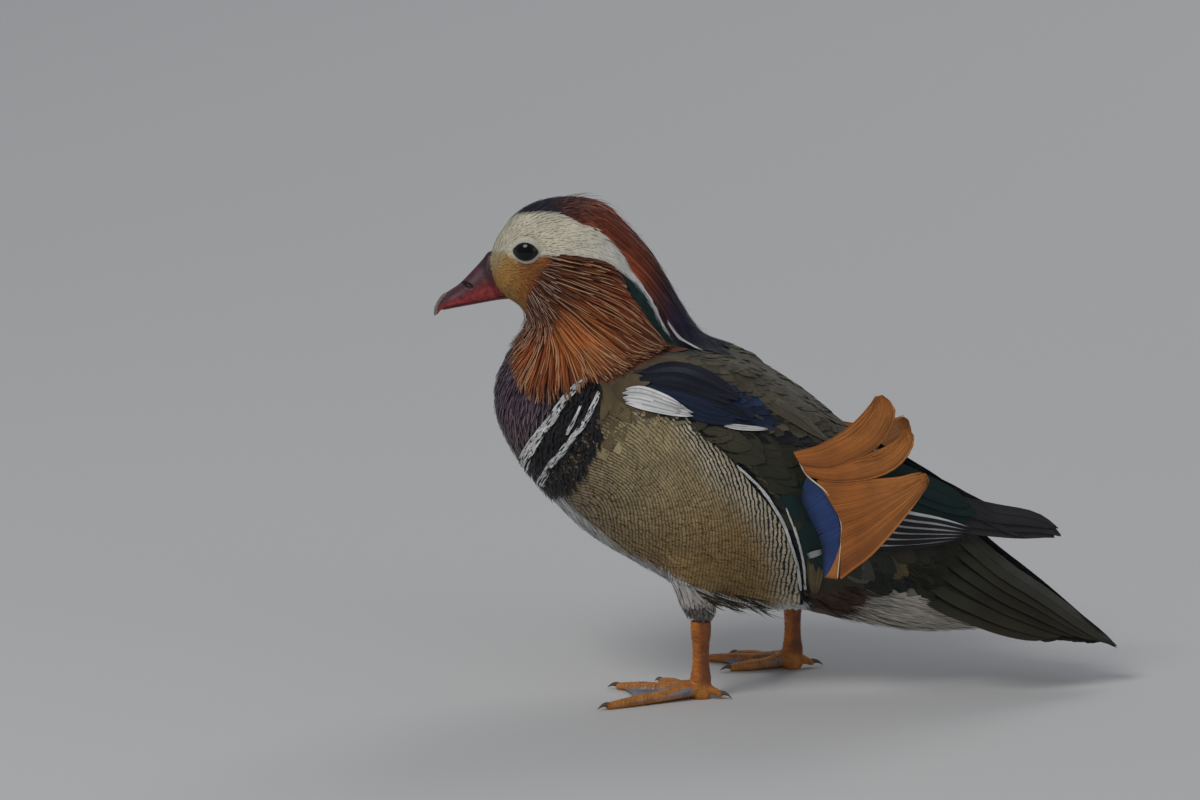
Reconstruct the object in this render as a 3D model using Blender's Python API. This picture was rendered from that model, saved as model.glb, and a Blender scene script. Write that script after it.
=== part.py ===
"""A mandarin drake, standing, at life size.

The bill points to -X, +Z is up, and the origin is on the floor under the middle of the bird.
The sizes below are in millimetres, and MM makes them metres when a mesh is built.
"""

import math
from collections import namedtuple

import bmesh
import bpy
import numpy as np
from mathutils import Matrix, Vector

MM = 0.001
GAP = 0.3  # clearance between pieces that touch
RING_STEPS = 24  # points round the body, the neck and the head
ROUNDNESS = 2.15  # 2 is an ellipse, and more is squarer

# Where the pieces part
NECK_CUT_Z = 168.0
RUMP_CUT_X = 38.0
ANKLE_Z = 36.0
TOE_JOINT_Z = 9.0

# The body, from breast to tail coverts: heights above the floor at each place along it
BodyStation = namedtuple("BodyStation", "x top widest bottom half_width")
BODY = [
    BodyStation(-126.6, 138.0, 131.5, 125.0, 6.0),
    BodyStation(-124.5, 145.5, 130.5, 118.5, 14.0),
    BodyStation(-119.0, 152.5, 129.0, 107.5, 23.0),
    BodyStation(-110.0, 158.5, 126.0, 95.0, 31.5),
    BodyStation(-98.0, 162.5, 122.0, 82.0, 39.0),
    BodyStation(-82.0, 164.5, 116.5, 67.0, 45.0),
    BodyStation(-62.0, 163.5, 110.5, 54.5, 48.5),
    BodyStation(-38.0, 158.5, 103.0, 41.5, 49.0),
    BodyStation(-14.0, 149.5, 97.0, 34.5, 46.5),
    BodyStation(8.0, 136.0, 90.0, 34.5, 42.0),
    BodyStation(28.0, 121.0, 82.0, 32.0, 36.5),
    BodyStation(48.0, 106.5, 73.0, 26.0, 30.5),
    BodyStation(66.0, 91.5, 62.0, 24.0, 24.0),
    BodyStation(82.0, 77.0, 51.0, 24.5, 18.0),
    BodyStation(97.0, 63.0, 42.0, 26.0, 12.0),
    BodyStation(108.0, 50.0, 36.0, 27.0, 6.5),
]
BREAST_TIP = (-127.0, 131.5)
COVERTS_TIP = (113.0, 36.0)

# Head and neck, from the crown down: level sections from front to back
HeadLevel = namedtuple("HeadLevel", "z front back half_width")
HEAD = [
    HeadLevel(223.3, -101.5, -84.0, 4.5),
    HeadLevel(221.2, -108.5, -77.5, 8.5),
    HeadLevel(217.0, -116.5, -72.0, 12.4),
    HeadLevel(211.0, -121.8, -68.0, 15.0),
    HeadLevel(204.0, -126.0, -64.0, 17.0),
    HeadLevel(195.0, -129.2, -59.5, 18.8),
    HeadLevel(187.0, -128.4, -56.0, 20.2),
    HeadLevel(180.0, -124.5, -52.5, 20.8),
    HeadLevel(175.5, -117.5, -50.0, 21.3),
    HeadLevel(171.0, -113.0, -48.5, 21.8),
    HeadLevel(167.0, -112.0, -46.5, 22.6),
    HeadLevel(161.5, -114.5, -43.5, 25.2),
    HeadLevel(155.0, -119.5, -40.0, 30.0),
    HeadLevel(149.0, -123.0, -36.5, 35.5),
    HeadLevel(142.0, -125.3, -32.0, 41.0),
]
CROWN_TOP = (-93.0, 224.0)
CHEEK_ROUNDNESS = 2.1

# The crest lies over the nape from the crown to a point on the mantle
CrestStation = namedtuple("CrestStation", "x z half_width half_depth")
CREST = [
    CrestStation(-90.0, 214.5, 5.0, 5.0),
    CrestStation(-78.0, 211.5, 8.5, 6.5),
    CrestStation(-66.5, 202.0, 10.0, 7.0),
    CrestStation(-57.5, 187.5, 10.8, 7.5),
    CrestStation(-48.5, 171.0, 11.0, 7.5),
    CrestStation(-39.0, 158.5, 11.0, 6.0),
    CrestStation(-28.5, 153.5, 9.0, 4.0),
    CrestStation(-20.0, 151.8, 5.5, 2.4),
]
CREST_TIP = (-15.0, 150.5)
CREST_STEPS = 14

# The bill: the mouth line parts it, and the nail hooks over the lower mandible
BillStation = namedtuple("BillStation", "x top bottom half_width")
UPPER_BILL = [
    BillStation(-112.0, 191.0, 181.5, 8.2),
    BillStation(-123.0, 193.0, 179.7, 8.0),
    BillStation(-129.6, 192.8, 178.3, 7.7),
    BillStation(-134.0, 189.0, 177.3, 7.3),
    BillStation(-140.0, 184.2, 176.0, 6.8),
    BillStation(-146.0, 179.8, 174.7, 6.2),
    BillStation(-150.0, 176.8, 172.6, 5.0),
    BillStation(-152.6, 174.0, 170.2, 2.8),
]
BILL_TIP = (-153.5, 170.6)
BILL_ARCH = 0.8  # below 1 the bill's arch is fuller than a half circle
LOWER_BILL = [
    BillStation(-112.0, 181.1, 177.2, 6.6),
    BillStation(-123.0, 179.3, 177.0, 7.0),
    BillStation(-136.0, 176.5, 174.7, 6.4),
    BillStation(-145.0, 174.5, 172.9, 5.4),
    BillStation(-149.0, 173.0, 171.9, 3.0),
]
LOWER_BILL_TIP = (-150.0, 172.3)

# Each eye is a lens shape that faces out, a little forward and a little up
EYE_CENTRE = (-112.3, 13.2, 202.0)
EYE_RADII = (6.0, 4.2, 5.5)
EYE_FORWARD_DEG = 15.0
EYE_UP_DEG = 7.0

# The closed tail is a steep roof of long feathers
TailStation = namedtuple("TailStation", "x top bottom half_width")
TAIL = [
    TailStation(66.0, 79.0, 42.0, 17.0),
    TailStation(90.0, 70.0, 32.0, 24.0),
    TailStation(108.0, 56.5, 24.5, 22.0),
    TailStation(125.0, 40.5, 20.6, 16.5),
    TailStation(140.0, 27.5, 18.0, 10.0),
    TailStation(149.5, 20.0, 16.6, 4.0),
]
TAIL_TIP = (153.5, 16.3)
# Half of a section through the tail: share of the half width, and share of the height below the ridge
TAIL_ROOF = [(0.0, 0.0), (0.34, 0.10), (0.72, 0.42), (0.97, 0.78), (0.92, 1.0), (0.45, 0.88)]
TAIL_HOLLOW = 0.82

# Folded primaries: a thin blade on each side, and the right tip crosses over the left one
BladeStation = namedtuple("BladeStation", "x y top bottom half_thickness")
LEFT_PRIMARIES = [
    BladeStation(47.0, -33.0, 101.0, 76.0, 1.6),
    BladeStation(60.0, -26.0, 96.5, 73.0, 1.6),
    BladeStation(78.0, -15.5, 87.0, 71.0, 1.5),
    BladeStation(95.0, -7.0, 79.5, 69.5, 1.3),
    BladeStation(112.0, -4.0, 75.0, 68.0, 1.0),
]
LEFT_PRIMARY_TIP = (127.0, -2.5, 68.5)
RIGHT_PRIMARIES = [
    BladeStation(47.0, 33.0, 101.0, 76.0, 1.6),
    BladeStation(58.0, 27.0, 98.5, 76.0, 1.6),
    BladeStation(72.0, 11.0, 92.5, 81.5, 1.4),
    BladeStation(84.0, -1.5, 89.5, 86.3, 1.2),
    BladeStation(96.0, -10.8, 84.5, 80.5, 1.0),
]
RIGHT_PRIMARY_TIP = (108.0, -13.0, 70.0)
BLADE_STEPS = 12

# Pads of feathers on the body's side, between two edges of (x, angle above the widest line)
SCAPULARS_LOWER = [(-70.0, 21.0), (-45.0, 25.0), (-18.0, 32.0), (8.0, 47.0), (31.0, 74.0)]
SCAPULARS_UPPER = [(-66.0, 62.0), (-44.0, 70.0), (-21.0, 79.0), (8.0, 85.0), (32.0, 84.0)]
SCAPULARS_LIFT = 3.4
WING_LOWER = [(-46.0, 20.0), (-12.0, 10.0), (7.0, -11.0), (19.0, -30.0), (42.0, -22.0)]
WING_UPPER = [(-44.0, 23.4), (-18.0, 30.2), (8.0, 45.0), (31.0, 71.5), (46.0, 70.0)]
WING_LIFT = 2.6
PAD_ALONG, PAD_ACROSS = 11, 6
PAD_ROOT = 1.5  # a pad starts this far inside the body, which is then cut from it
PAD_EDGE_GROWTH = 1.6  # degrees round the body for each millimetre that a pad's cutter is larger
THIN_EDGE = 0.28  # a pad's edge, as a share of its full lift

# The sail is one broad tertial on each wing, split into three lobes that curl up
SAIL_THICKNESS = 1.0
SAIL_OUTLINE = [  # (x, z, whether the outline turns sharply there)
    (9.0, 112.5, True),
    (21.0, 93.0, False),
    (27.5, 74.0, False),
    (30.0, 57.5, True),
    (47.0, 72.0, False),
    (59.0, 88.0, False),
    (68.0, 103.5, True),
    (54.0, 101.0, False),
    (41.0, 101.5, True),
    (53.0, 109.0, False),
    (60.5, 122.5, True),
    (49.0, 115.5, False),
    (34.0, 109.0, False),
    (22.0, 107.0, True),
    (43.0, 117.5, False),
    (54.0, 130.0, False),
    (48.0, 138.5, True),
    (41.0, 130.5, False),
    (30.0, 123.5, False),
]
SAIL_REACH = 45.4  # how far out from the midline the sail stands at SAIL_DATUM
SAIL_DATUM = (20.0, 85.0)
SAIL_LEAN_IN = 0.12  # towards the midline, for each millimetre up
SAIL_TOE_IN = 0.2  # towards the midline, for each millimetre back
SAIL_HINGE = (10.0, 106.0)
# The right sail lies lower, along the rump, and so stands a little further out
RIGHT_SAIL_DROP_DEG = 36.0
RIGHT_SAIL_OUT = 3.6

# Legs: the left one stands forward of the right one
LEG_SIDE = 29.0
LEFT_LEG_X = -33.8
RIGHT_LEG_X = 8.0
LegLevel = namedtuple("LegLevel", "z half_length half_breadth")
TARSUS = [
    LegLevel(ANKLE_Z - 0.3, 4.6, 4.2),
    LegLevel(31.0, 4.7, 4.3),
    LegLevel(25.0, 3.9, 3.3),
    LegLevel(18.0, 3.7, 3.0),
    LegLevel(12.5, 4.2, 3.5),
    LegLevel(TOE_JOINT_Z, 4.9, 4.3),
]
ThighLevel = namedtuple("ThighLevel", "z lean radius")
THIGH = [
    ThighLevel(66.0, -5.0, 15.5),
    ThighLevel(54.0, -3.5, 13.0),
    ThighLevel(45.0, -1.5, 9.8),
    ThighLevel(39.5, -0.5, 7.2),
    ThighLevel(ANKLE_Z, 0.0, 5.6),
]
THIGH_BREADTH = 0.86  # a thigh's breadth for each millimetre of its length
LEG_STEPS = 12

# A foot: toe lengths without claws, and bearings from straight ahead, outwards positive
ToeSize = namedtuple("ToeSize", "name length bearing")
FRONT_TOES = {
    "left": [
        ToeSize("outer", 47.5, 27.6),
        ToeSize("middle", 41.0, -24.0),
        ToeSize("inner", 32.0, -56.0),
    ],
    "right": [
        ToeSize("outer", 33.0, 40.0),
        ToeSize("middle", 41.0, 19.0),
        ToeSize("inner", 29.0, -13.0),
    ],
}
HIND_TOE = ToeSize("hind", 9.5, 168.0)
TOE_ROOT_RADIUS = 3.3
TOE_TIP_RADIUS = 1.9
TOE_ARCH = 2.0  # how far a toe's bone rises over its sole near the joint
TOE_START = 1.0  # from the joint's middle to a toe's first section
HIND_SIZE = 0.8
HIND_RISE, HIND_DROP = 6.0, 4.0  # the hind toe's middle line at its root, and how far it falls
TOE_STEPS = 8
KNUCKLE_SWELL, KNUCKLES = 0.08, 3.5
SOLE_SINK = 0.25  # what is cut flat from the underside of a toe
WEB_CENTRE = 0.5  # where the web is thickest, as a share of its reach
WEB_RIM = (0.6, 1.5)  # the bottom and top of the web's rim, above the floor
WEB_MIDDLE = (0.35, 2.3)  # the same in its middle
WEB_ROOT = 5.0  # the top of the web at the toe joint
WEB_REACH = 0.93  # how far along the toes the web comes
WEB_HOLLOW = 0.82  # the web's edge between two toes, as a share of WEB_REACH
# The joint pad over the sole: heights, and its size there as a share of its half length and breadth
PAD_LEVELS = [(0.0, 0.8), (1.5, 0.97), (4.5, 1.0), (TOE_JOINT_Z - GAP / 2, 0.98)]
PAD_SIZE = (4.8, 4.2)
CLAW_LENGTH = 4.6
CLAW_RADIUS = 1.35
CLAW_LEVELS = (0.0, 0.35, 0.7)  # a claw's sections, as shares of its length
CLAW_HEIGHT = 1.9
CLAW_TAPER, CLAW_DROOP, CLAW_TIP_DROP = 0.75, 0.7, 1.1

Finish = namedtuple("Finish", "colour roughness")
FINISHES = {
    "head_plumage": Finish((0.55, 0.45, 0.28), 0.7),
    "neck_plumage": Finish((0.42, 0.14, 0.05), 0.65),
    "crest_plumage": Finish((0.20, 0.06, 0.04), 0.55),
    "body_plumage": Finish((0.30, 0.22, 0.11), 0.75),
    "dark_plumage": Finish((0.05, 0.05, 0.04), 0.6),
    "sail_plumage": Finish((0.55, 0.24, 0.07), 0.6),
    "bill_horn": Finish((0.33, 0.05, 0.05), 0.35),
    "eye_gloss": Finish((0.01, 0.01, 0.01), 0.05),
    "leg_skin": Finish((0.62, 0.27, 0.04), 0.5),
    "claw_horn": Finish((0.16, 0.11, 0.08), 0.4),
}


def clear_scene():
    for obj in list(bpy.data.objects):
        bpy.data.objects.remove(obj, do_unlink=True)


def new_collection(name):
    collection = bpy.data.collections.new(name)
    bpy.context.scene.collection.children.link(collection)
    return collection


def finish_material(name):
    """The Principled material of one finish, made once."""
    if name in bpy.data.materials:
        return bpy.data.materials[name]
    material = bpy.data.materials.new(name)
    material.use_nodes = True
    shader = material.node_tree.nodes["Principled BSDF"]
    shader.inputs["Base Color"].default_value = (*FINISHES[name].colour, 1.0)
    shader.inputs["Roughness"].default_value = FINISHES[name].roughness
    shader.inputs["Metallic"].default_value = 0.0
    return material


def mesh_object(name, points, faces, collection, finish=None):
    """A closed mesh object from points in millimetres, with its faces pointing out."""
    mesh = bpy.data.meshes.new(name)
    mesh.from_pydata([tuple(p) for p in np.asarray(points) * MM], [], faces)
    bm = bmesh.new()
    bm.from_mesh(mesh)
    bmesh.ops.recalc_face_normals(bm, faces=bm.faces)
    bm.to_mesh(mesh)
    bm.free()
    mesh.shade_smooth()
    obj = bpy.data.objects.new(name, mesh)
    if finish:
        mesh.materials.append(finish_material(finish))
    collection.objects.link(obj)
    return obj


def as_cutter(obj):
    obj.hide_render = True
    obj.display_type = "WIRE"
    return obj


def boolean(obj, other, operation):
    modifier = obj.modifiers.new(operation.title(), "BOOLEAN")
    modifier.operation = operation
    modifier.solver = "EXACT"
    modifier.object = other


def read_between(rows, at):
    """Every field of a station table at the places asked for, eased from row to row."""
    table = np.array(rows, float)
    x, values = table[:, 0], table[:, 1:]
    if x[0] > x[-1]:
        x, values = x[::-1], values[::-1]
    steps = np.diff(x)[:, None]
    rise = np.diff(values, axis=0) / steps
    slope = np.zeros_like(values)
    same_way = rise[:-1] * rise[1:] > 0
    safe = np.where(same_way, rise[:-1] + rise[1:], 1.0)
    slope[1:-1] = np.where(same_way, 2 * rise[:-1] * rise[1:] / safe, 0.0)
    slope[0], slope[-1] = rise[0], rise[-1]
    at = np.atleast_1d(np.asarray(at, float))
    row = np.clip(np.searchsorted(x, at) - 1, 0, len(x) - 2)
    width = steps[row]
    t = (at[:, None] - x[row, None]) / width
    return (
        values[row] * (1 + 2 * t) * (1 - t) ** 2
        + slope[row] * width * t * (1 - t) ** 2
        + values[row + 1] * t**2 * (3 - 2 * t)
        + slope[row + 1] * width * t**2 * (t - 1)
    )


def power(value, roundness):
    """The sine or cosine of a superellipse's angle."""
    return np.sign(value) * np.abs(value) ** (2 / roundness)


def loft(rings, start=None, end=None):
    """Points and faces of a skin over rings of points. An end is a pole, or a flat cap if None."""
    count = len(rings[0])
    points = [p for ring in rings for p in ring]
    faces = []
    for i in range(len(rings) - 1):
        for j in range(count):
            k = (j + 1) % count
            faces.append((i * count + j, i * count + k, (i + 1) * count + k, (i + 1) * count + j))
    for pole, first in ((start, 0), (end, (len(rings) - 1) * count)):
        ring = list(range(first, first + count))
        if pole is None:
            faces.append(tuple(ring))
            continue
        points.append(pole)
        faces += [(ring[j], ring[(j + 1) % count], len(points) - 1) for j in range(count)]
    return points, faces


def body_points(x, angles, grow=0.0):
    """Points on the body's surface, lifted off it by grow. Angle 0 is the left side, 90 degrees the back."""
    top, widest, bottom, half_width = read_between(BODY, x).T
    side, up = power(np.cos(angles), ROUNDNESS), power(np.sin(angles), ROUNDNESS)
    reach = np.where(up > 0, top - widest, widest - bottom) + grow
    y = -(half_width + grow) * side
    return np.column_stack([np.broadcast_to(x, y.shape), y, widest + reach * up])


def body_rings(xs, grow=0.0):
    angles = np.linspace(0, 2 * math.pi, RING_STEPS, endpoint=False)
    return [body_points(x, angles, grow) for x in xs]


def head_rings(levels, grow=0.0):
    angles = np.linspace(0, 2 * math.pi, RING_STEPS, endpoint=False)
    rings = []
    for z in levels:
        front, back, half_width = read_between(HEAD, z)[0]
        middle, half_length = (front + back) / 2, (back - front) / 2 + grow
        x = middle + half_length * power(np.cos(angles), CHEEK_ROUNDNESS)
        y = (half_width + grow) * power(np.sin(angles), CHEEK_ROUNDNESS)
        rings.append(np.column_stack([x, y, np.full_like(x, z)]))
    return rings


def eased_steps(start, end, count, rush=1.6):
    """Places from start to end that crowd towards the start, where a form rounds over."""
    return start + (end - start) * np.linspace(0, 1, count) ** rush


def front_to(x_end, count):
    return eased_steps(BODY[0].x, x_end, count)


def make_trunk(parts):
    rings = body_rings(front_to(RUMP_CUT_X - GAP / 2, 18))
    points, faces = loft(rings, start=(BREAST_TIP[0], 0, BREAST_TIP[1]))
    return mesh_object("trunk", points, faces, parts, "body_plumage")


def make_rump(parts):
    rings = body_rings(np.linspace(RUMP_CUT_X + GAP / 2, BODY[-1].x, 8))
    points, faces = loft(rings, end=(COVERTS_TIP[0], 0, COVERTS_TIP[1]))
    return mesh_object("rump", points, faces, parts, "body_plumage")


def make_body_cutter(cutters):
    """The whole body, a gap larger all round."""
    rings = body_rings(np.append(front_to(RUMP_CUT_X, 18), np.linspace(47, BODY[-1].x, 7)), GAP)
    start = (BREAST_TIP[0] - GAP, 0, BREAST_TIP[1])
    end = (COVERTS_TIP[0] + GAP, 0, COVERTS_TIP[1])
    return as_cutter(mesh_object("body_cutter", *loft(rings, start, end), cutters))


def crown_down(z_end, count):
    return eased_steps(HEAD[0].z, z_end, count, 1.35)


def make_head(parts):
    rings = head_rings(crown_down(NECK_CUT_Z + GAP / 2, 13))
    points, faces = loft(rings, start=(CROWN_TOP[0], 0, CROWN_TOP[1]))
    return mesh_object("head", points, faces, parts, "head_plumage")


def make_neck(parts, body_cutter):
    rings = head_rings(np.linspace(NECK_CUT_Z - GAP / 2, HEAD[-1].z, 6))
    neck = mesh_object("neck", *loft(rings), parts, "neck_plumage")
    boolean(neck, body_cutter, "DIFFERENCE")
    return neck


def make_head_cutter(cutters):
    """Head and neck in one, a gap larger all round."""
    rings = head_rings(np.append(crown_down(NECK_CUT_Z, 13), np.linspace(162, HEAD[-1].z, 5)), GAP)
    start = (CROWN_TOP[0], 0, CROWN_TOP[1] + GAP)
    return as_cutter(mesh_object("head_cutter", *loft(rings, start), cutters))


def make_crest(parts, head_cutter, body_cutter):
    table = np.array(CREST)
    along = np.arange(len(table))
    fine = np.linspace(0, len(table) - 1, 12)
    rows = read_between(np.column_stack([along, table]), fine)
    ahead = np.gradient(rows[:, :2], axis=0)
    ahead /= np.linalg.norm(ahead, axis=1)[:, None]
    angles = np.linspace(0, 2 * math.pi, CREST_STEPS, endpoint=False)
    rings = []
    for (x, z, half_width, half_depth), (run, rise) in zip(rows, ahead):
        depth = half_depth * np.cos(angles)
        ring = [x - rise * depth, half_width * np.sin(angles), z + run * depth]
        rings.append(np.column_stack(ring))
    points, faces = loft(rings, end=(CREST_TIP[0], 0, CREST_TIP[1]))
    crest = mesh_object("crest", points, faces, parts, "crest_plumage")
    boolean(crest, head_cutter, "DIFFERENCE")
    boolean(crest, body_cutter, "DIFFERENCE")
    return crest


def bill_ring(station, arched_up):
    """A section with a flat side along the mouth line and an arch on the other side."""
    x, top, bottom, half_width = station
    arch = np.linspace(0, math.pi, 11)
    base, height = (bottom, top - bottom) if arched_up else (top, bottom - top)
    y = half_width * np.cos(arch)
    z = base + height * np.sin(arch) ** BILL_ARCH
    flat = np.linspace(-half_width, half_width, 5)[1:-1]
    y, z = np.append(y, flat), np.append(z, np.full(3, base))
    return np.column_stack([np.full_like(y, x), y, z])


def make_mandible(name, stations, tip, arched_up, parts, head_cutter):
    xs = np.linspace(stations[0].x, stations[-1].x, 12)
    rows = np.column_stack([xs, read_between(stations, xs)])
    points, faces = loft([bill_ring(row, arched_up) for row in rows], end=(tip[0], 0, tip[1]))
    mandible = mesh_object(name, points, faces, parts, "bill_horn")
    boolean(mandible, head_cutter, "DIFFERENCE")
    return mandible


def lens(name, side, grow, collection, finish=None):
    """An eyeball, or the socket that is larger by grow."""
    bm = bmesh.new()
    bmesh.ops.create_uvsphere(bm, u_segments=14, v_segments=9, radius=1.0)
    bmesh.ops.scale(bm, verts=bm.verts, vec=[(radius + grow) * MM for radius in EYE_RADII])
    turn = Matrix.Rotation(math.radians(EYE_FORWARD_DEG * side), 3, "Z")
    turn @= Matrix.Rotation(math.radians(EYE_UP_DEG * side), 3, "X")
    bmesh.ops.rotate(bm, verts=bm.verts, cent=(0, 0, 0), matrix=turn)
    x, y, z = EYE_CENTRE
    bmesh.ops.translate(bm, verts=bm.verts, vec=Vector((x, side * y, z)) * MM)
    mesh = bpy.data.meshes.new(name)
    bm.to_mesh(mesh)
    bm.free()
    mesh.shade_smooth()
    if finish:
        mesh.materials.append(finish_material(finish))
    obj = bpy.data.objects.new(name, mesh)
    collection.objects.link(obj)
    return obj


def make_eye(side_name, side, parts, cutters, head):
    """An eyeball in a socket that is a gap wider than it."""
    socket = as_cutter(lens(f"socket_{side_name}", side, GAP, cutters))
    boolean(head, socket, "DIFFERENCE")
    return lens(f"eye_{side_name}", side, 0.0, parts, "eye_gloss")


def tail_ring(x, top, bottom, half_width):
    """A roof of long feathers: a ridge on top, steep sides, and a shallow hollow below."""
    height = top - bottom
    right = [(x, share * half_width, top - fall * height) for share, fall in TAIL_ROOF]
    keel = (x, 0.0, top - TAIL_HOLLOW * height)
    left = [(x, -y, z) for _, y, z in reversed(right[1:])]
    return np.array(right + [keel] + left)


def make_tail(parts, body_cutter):
    xs = np.linspace(TAIL[0].x, TAIL[-1].x, 12)
    rings = [tail_ring(x, *row) for x, row in zip(xs, read_between(TAIL, xs))]
    points, faces = loft(rings, end=(TAIL_TIP[0], 0, TAIL_TIP[1]))
    tail = mesh_object("tail", points, faces, parts, "dark_plumage")
    boolean(tail, body_cutter, "DIFFERENCE")
    return tail


def make_primaries(name, stations, tip, parts, cutters):
    """The folded long feathers of one wing: a lens-shaped blade, cut back where the body is."""
    xs = np.linspace(stations[0].x, stations[-1].x, 9)
    angles = np.linspace(0, 2 * math.pi, BLADE_STEPS, endpoint=False)
    rings = []
    for x, (y, top, bottom, half_thickness) in zip(xs, read_between(stations, xs)):
        across = y + half_thickness * np.sin(angles)
        high = (top + bottom) / 2 + (top - bottom) / 2 * np.cos(angles)
        rings.append(np.column_stack([np.full_like(across, x), across, high]))
    blade = mesh_object(name, *loft(rings, end=tip), parts, "dark_plumage")
    for cutter in cutters:
        boolean(blade, cutter, "DIFFERENCE")
    return blade


def pad_mesh(lower, upper, lift, side, grow=0.0):
    """Feathers over the body between two edges, thin at the edges and full in the middle."""
    rows = np.arange(len(lower))
    along = np.linspace(0, 1, PAD_ALONG)
    low = read_between(np.column_stack([rows, lower]), along * rows[-1])
    high = read_between(np.column_stack([rows, upper]), along * rows[-1])
    across = np.linspace(0, 1, PAD_ACROSS)
    rings = []
    for s, start, end in zip(along, low, high):
        spread = grow * PAD_EDGE_GROWTH * (2 * across - 1)
        x = start[0] + (end[0] - start[0]) * across + grow * (2 * s - 1)
        angles = np.radians(start[1] + (end[1] - start[1]) * across + spread)
        fullness = np.sqrt(np.sin(math.pi * s) * np.sin(math.pi * across) + 1e-9)
        rise = GAP + lift * (THIN_EDGE + (1 - THIN_EDGE) * fullness) + grow
        rings.append(np.vstack([body_points(x, angles, -PAD_ROOT), body_points(x, angles, rise)[::-1]]))
    points, faces = loft(rings)
    return np.array(points) * (1, side, 1), faces


def make_pad(name, edges, side, finish, parts, cutters):
    pad = mesh_object(name, *pad_mesh(*edges, side), parts, finish)
    for cutter in cutters:
        boolean(pad, cutter, "DIFFERENCE")
    return pad


def sail_reach(x, z):
    """How far out from the midline the sail stands at a place on it."""
    return SAIL_REACH - SAIL_LEAN_IN * (z - SAIL_DATUM[1]) - SAIL_TOE_IN * (x - SAIL_DATUM[0])


def make_sail(name, side, drop_deg, further_out, parts):
    """A thin plate from the outline, leaned against the wing. drop_deg lays it down towards the tail."""
    curve = bpy.data.curves.new(name + "_outline", "CURVE")
    curve.dimensions = "2D"
    curve.fill_mode = "BOTH"
    curve.extrude = SAIL_THICKNESS / 2 * MM
    curve.resolution_u = 4
    spline = curve.splines.new("BEZIER")
    spline.bezier_points.add(len(SAIL_OUTLINE) - 1)
    spline.use_cyclic_u = True
    for point, (x, z, sharp) in zip(spline.bezier_points, SAIL_OUTLINE):
        point.co = (x * MM, z * MM, 0.0)
        kind = "VECTOR" if sharp else "AUTO"
        point.handle_left_type = point.handle_right_type = kind
    drawn = bpy.data.objects.new(name + "_outline", curve)
    parts.objects.link(drawn)
    bpy.context.view_layer.update()
    mesh = bpy.data.meshes.new_from_object(drawn.evaluated_get(bpy.context.evaluated_depsgraph_get()))
    bpy.data.objects.remove(drawn)
    turn = math.radians(drop_deg)
    hinge_x, hinge_z = SAIL_HINGE
    for vertex in mesh.vertices:
        x, z, depth = (value / MM for value in vertex.co)
        reach = sail_reach(x, z) + further_out + depth
        x, z = x - hinge_x, z - hinge_z
        x, z = x * math.cos(turn) + z * math.sin(turn), z * math.cos(turn) - x * math.sin(turn)
        vertex.co = Vector((x + hinge_x, side * reach, z + hinge_z)) * MM
    bm = bmesh.new()
    bm.from_mesh(mesh)
    bmesh.ops.remove_doubles(bm, verts=bm.verts, dist=1e-6)
    bmesh.ops.recalc_face_normals(bm, faces=bm.faces)
    bm.to_mesh(mesh)
    bm.free()
    mesh.name = name
    mesh.materials.clear()
    mesh.materials.append(finish_material("sail_plumage"))
    sail = bpy.data.objects.new(name, mesh)
    parts.objects.link(sail)
    return sail


def oval_rings(rows):
    """Level oval sections from rows of (z, x, y, half length, half breadth)."""
    angles = np.linspace(0, 2 * math.pi, LEG_STEPS, endpoint=False)
    return [
        np.column_stack([x + a * np.cos(angles), y + b * np.sin(angles), np.full(LEG_STEPS, z)])
        for z, x, y, a, b in rows
    ]


def make_thigh(side_name, x, y, parts, cutters):
    rows = [(level.z, x + level.lean, y, level.radius, level.radius * THIGH_BREADTH) for level in THIGH]
    thigh = mesh_object(f"thigh_{side_name}", *loft(oval_rings(rows)), parts, "body_plumage")
    for cutter in cutters:
        boolean(thigh, cutter, "DIFFERENCE")
    return thigh


def make_leg(side_name, x, y, parts):
    zs = np.linspace(TARSUS[0].z, TARSUS[-1].z + GAP / 2, 9)
    sizes = read_between(TARSUS, zs)
    rows = [(z, x, y, half_length, half_breadth) for z, (half_length, half_breadth) in zip(zs, sizes)]
    return mesh_object(f"leg_{side_name}", *loft(oval_rings(rows)), parts, "leg_skin")


def toe_way(toe, side):
    """The toe's direction on the floor. The bird faces -X, and side is -1 on its left."""
    bearing = math.radians(toe.bearing)
    return np.array([-math.cos(bearing), side * math.sin(bearing)])


def toe_height(share, radius):
    """How high a toe's middle line is: arched at the joint and settling on its sole."""
    return radius + TOE_ARCH * (1 - share) ** 2 - SOLE_SINK


def toe_mesh(toe, joint, side, hind=False):
    """A tapered toe from the joint to where its claw starts, flat where it rests on the floor."""
    way = toe_way(toe, side)
    across = np.array([-way[1], way[0]])
    angles = np.linspace(0, 2 * math.pi, TOE_STEPS, endpoint=False)
    size = HIND_SIZE if hind else 1.0
    rings = []
    for share in np.linspace(0, 1, 7):
        knuckle = 1 + KNUCKLE_SWELL * math.sin(KNUCKLES * math.pi * share)
        radius = size * knuckle * (TOE_ROOT_RADIUS + (TOE_TIP_RADIUS - TOE_ROOT_RADIUS) * share)
        height = HIND_RISE - HIND_DROP * share if hind else toe_height(share, radius)
        out = way * (TOE_START + (toe.length - TOE_START) * share)
        flat = joint + out + across[None, :] * (radius * np.cos(angles))[:, None]
        z = np.maximum(height + radius * np.sin(angles), 0.0)
        rings.append(np.column_stack([flat, z]))
    behind = (*(joint - way * 0.4), rings[0][:, 2].mean())
    return loft(rings, start=behind)


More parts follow.
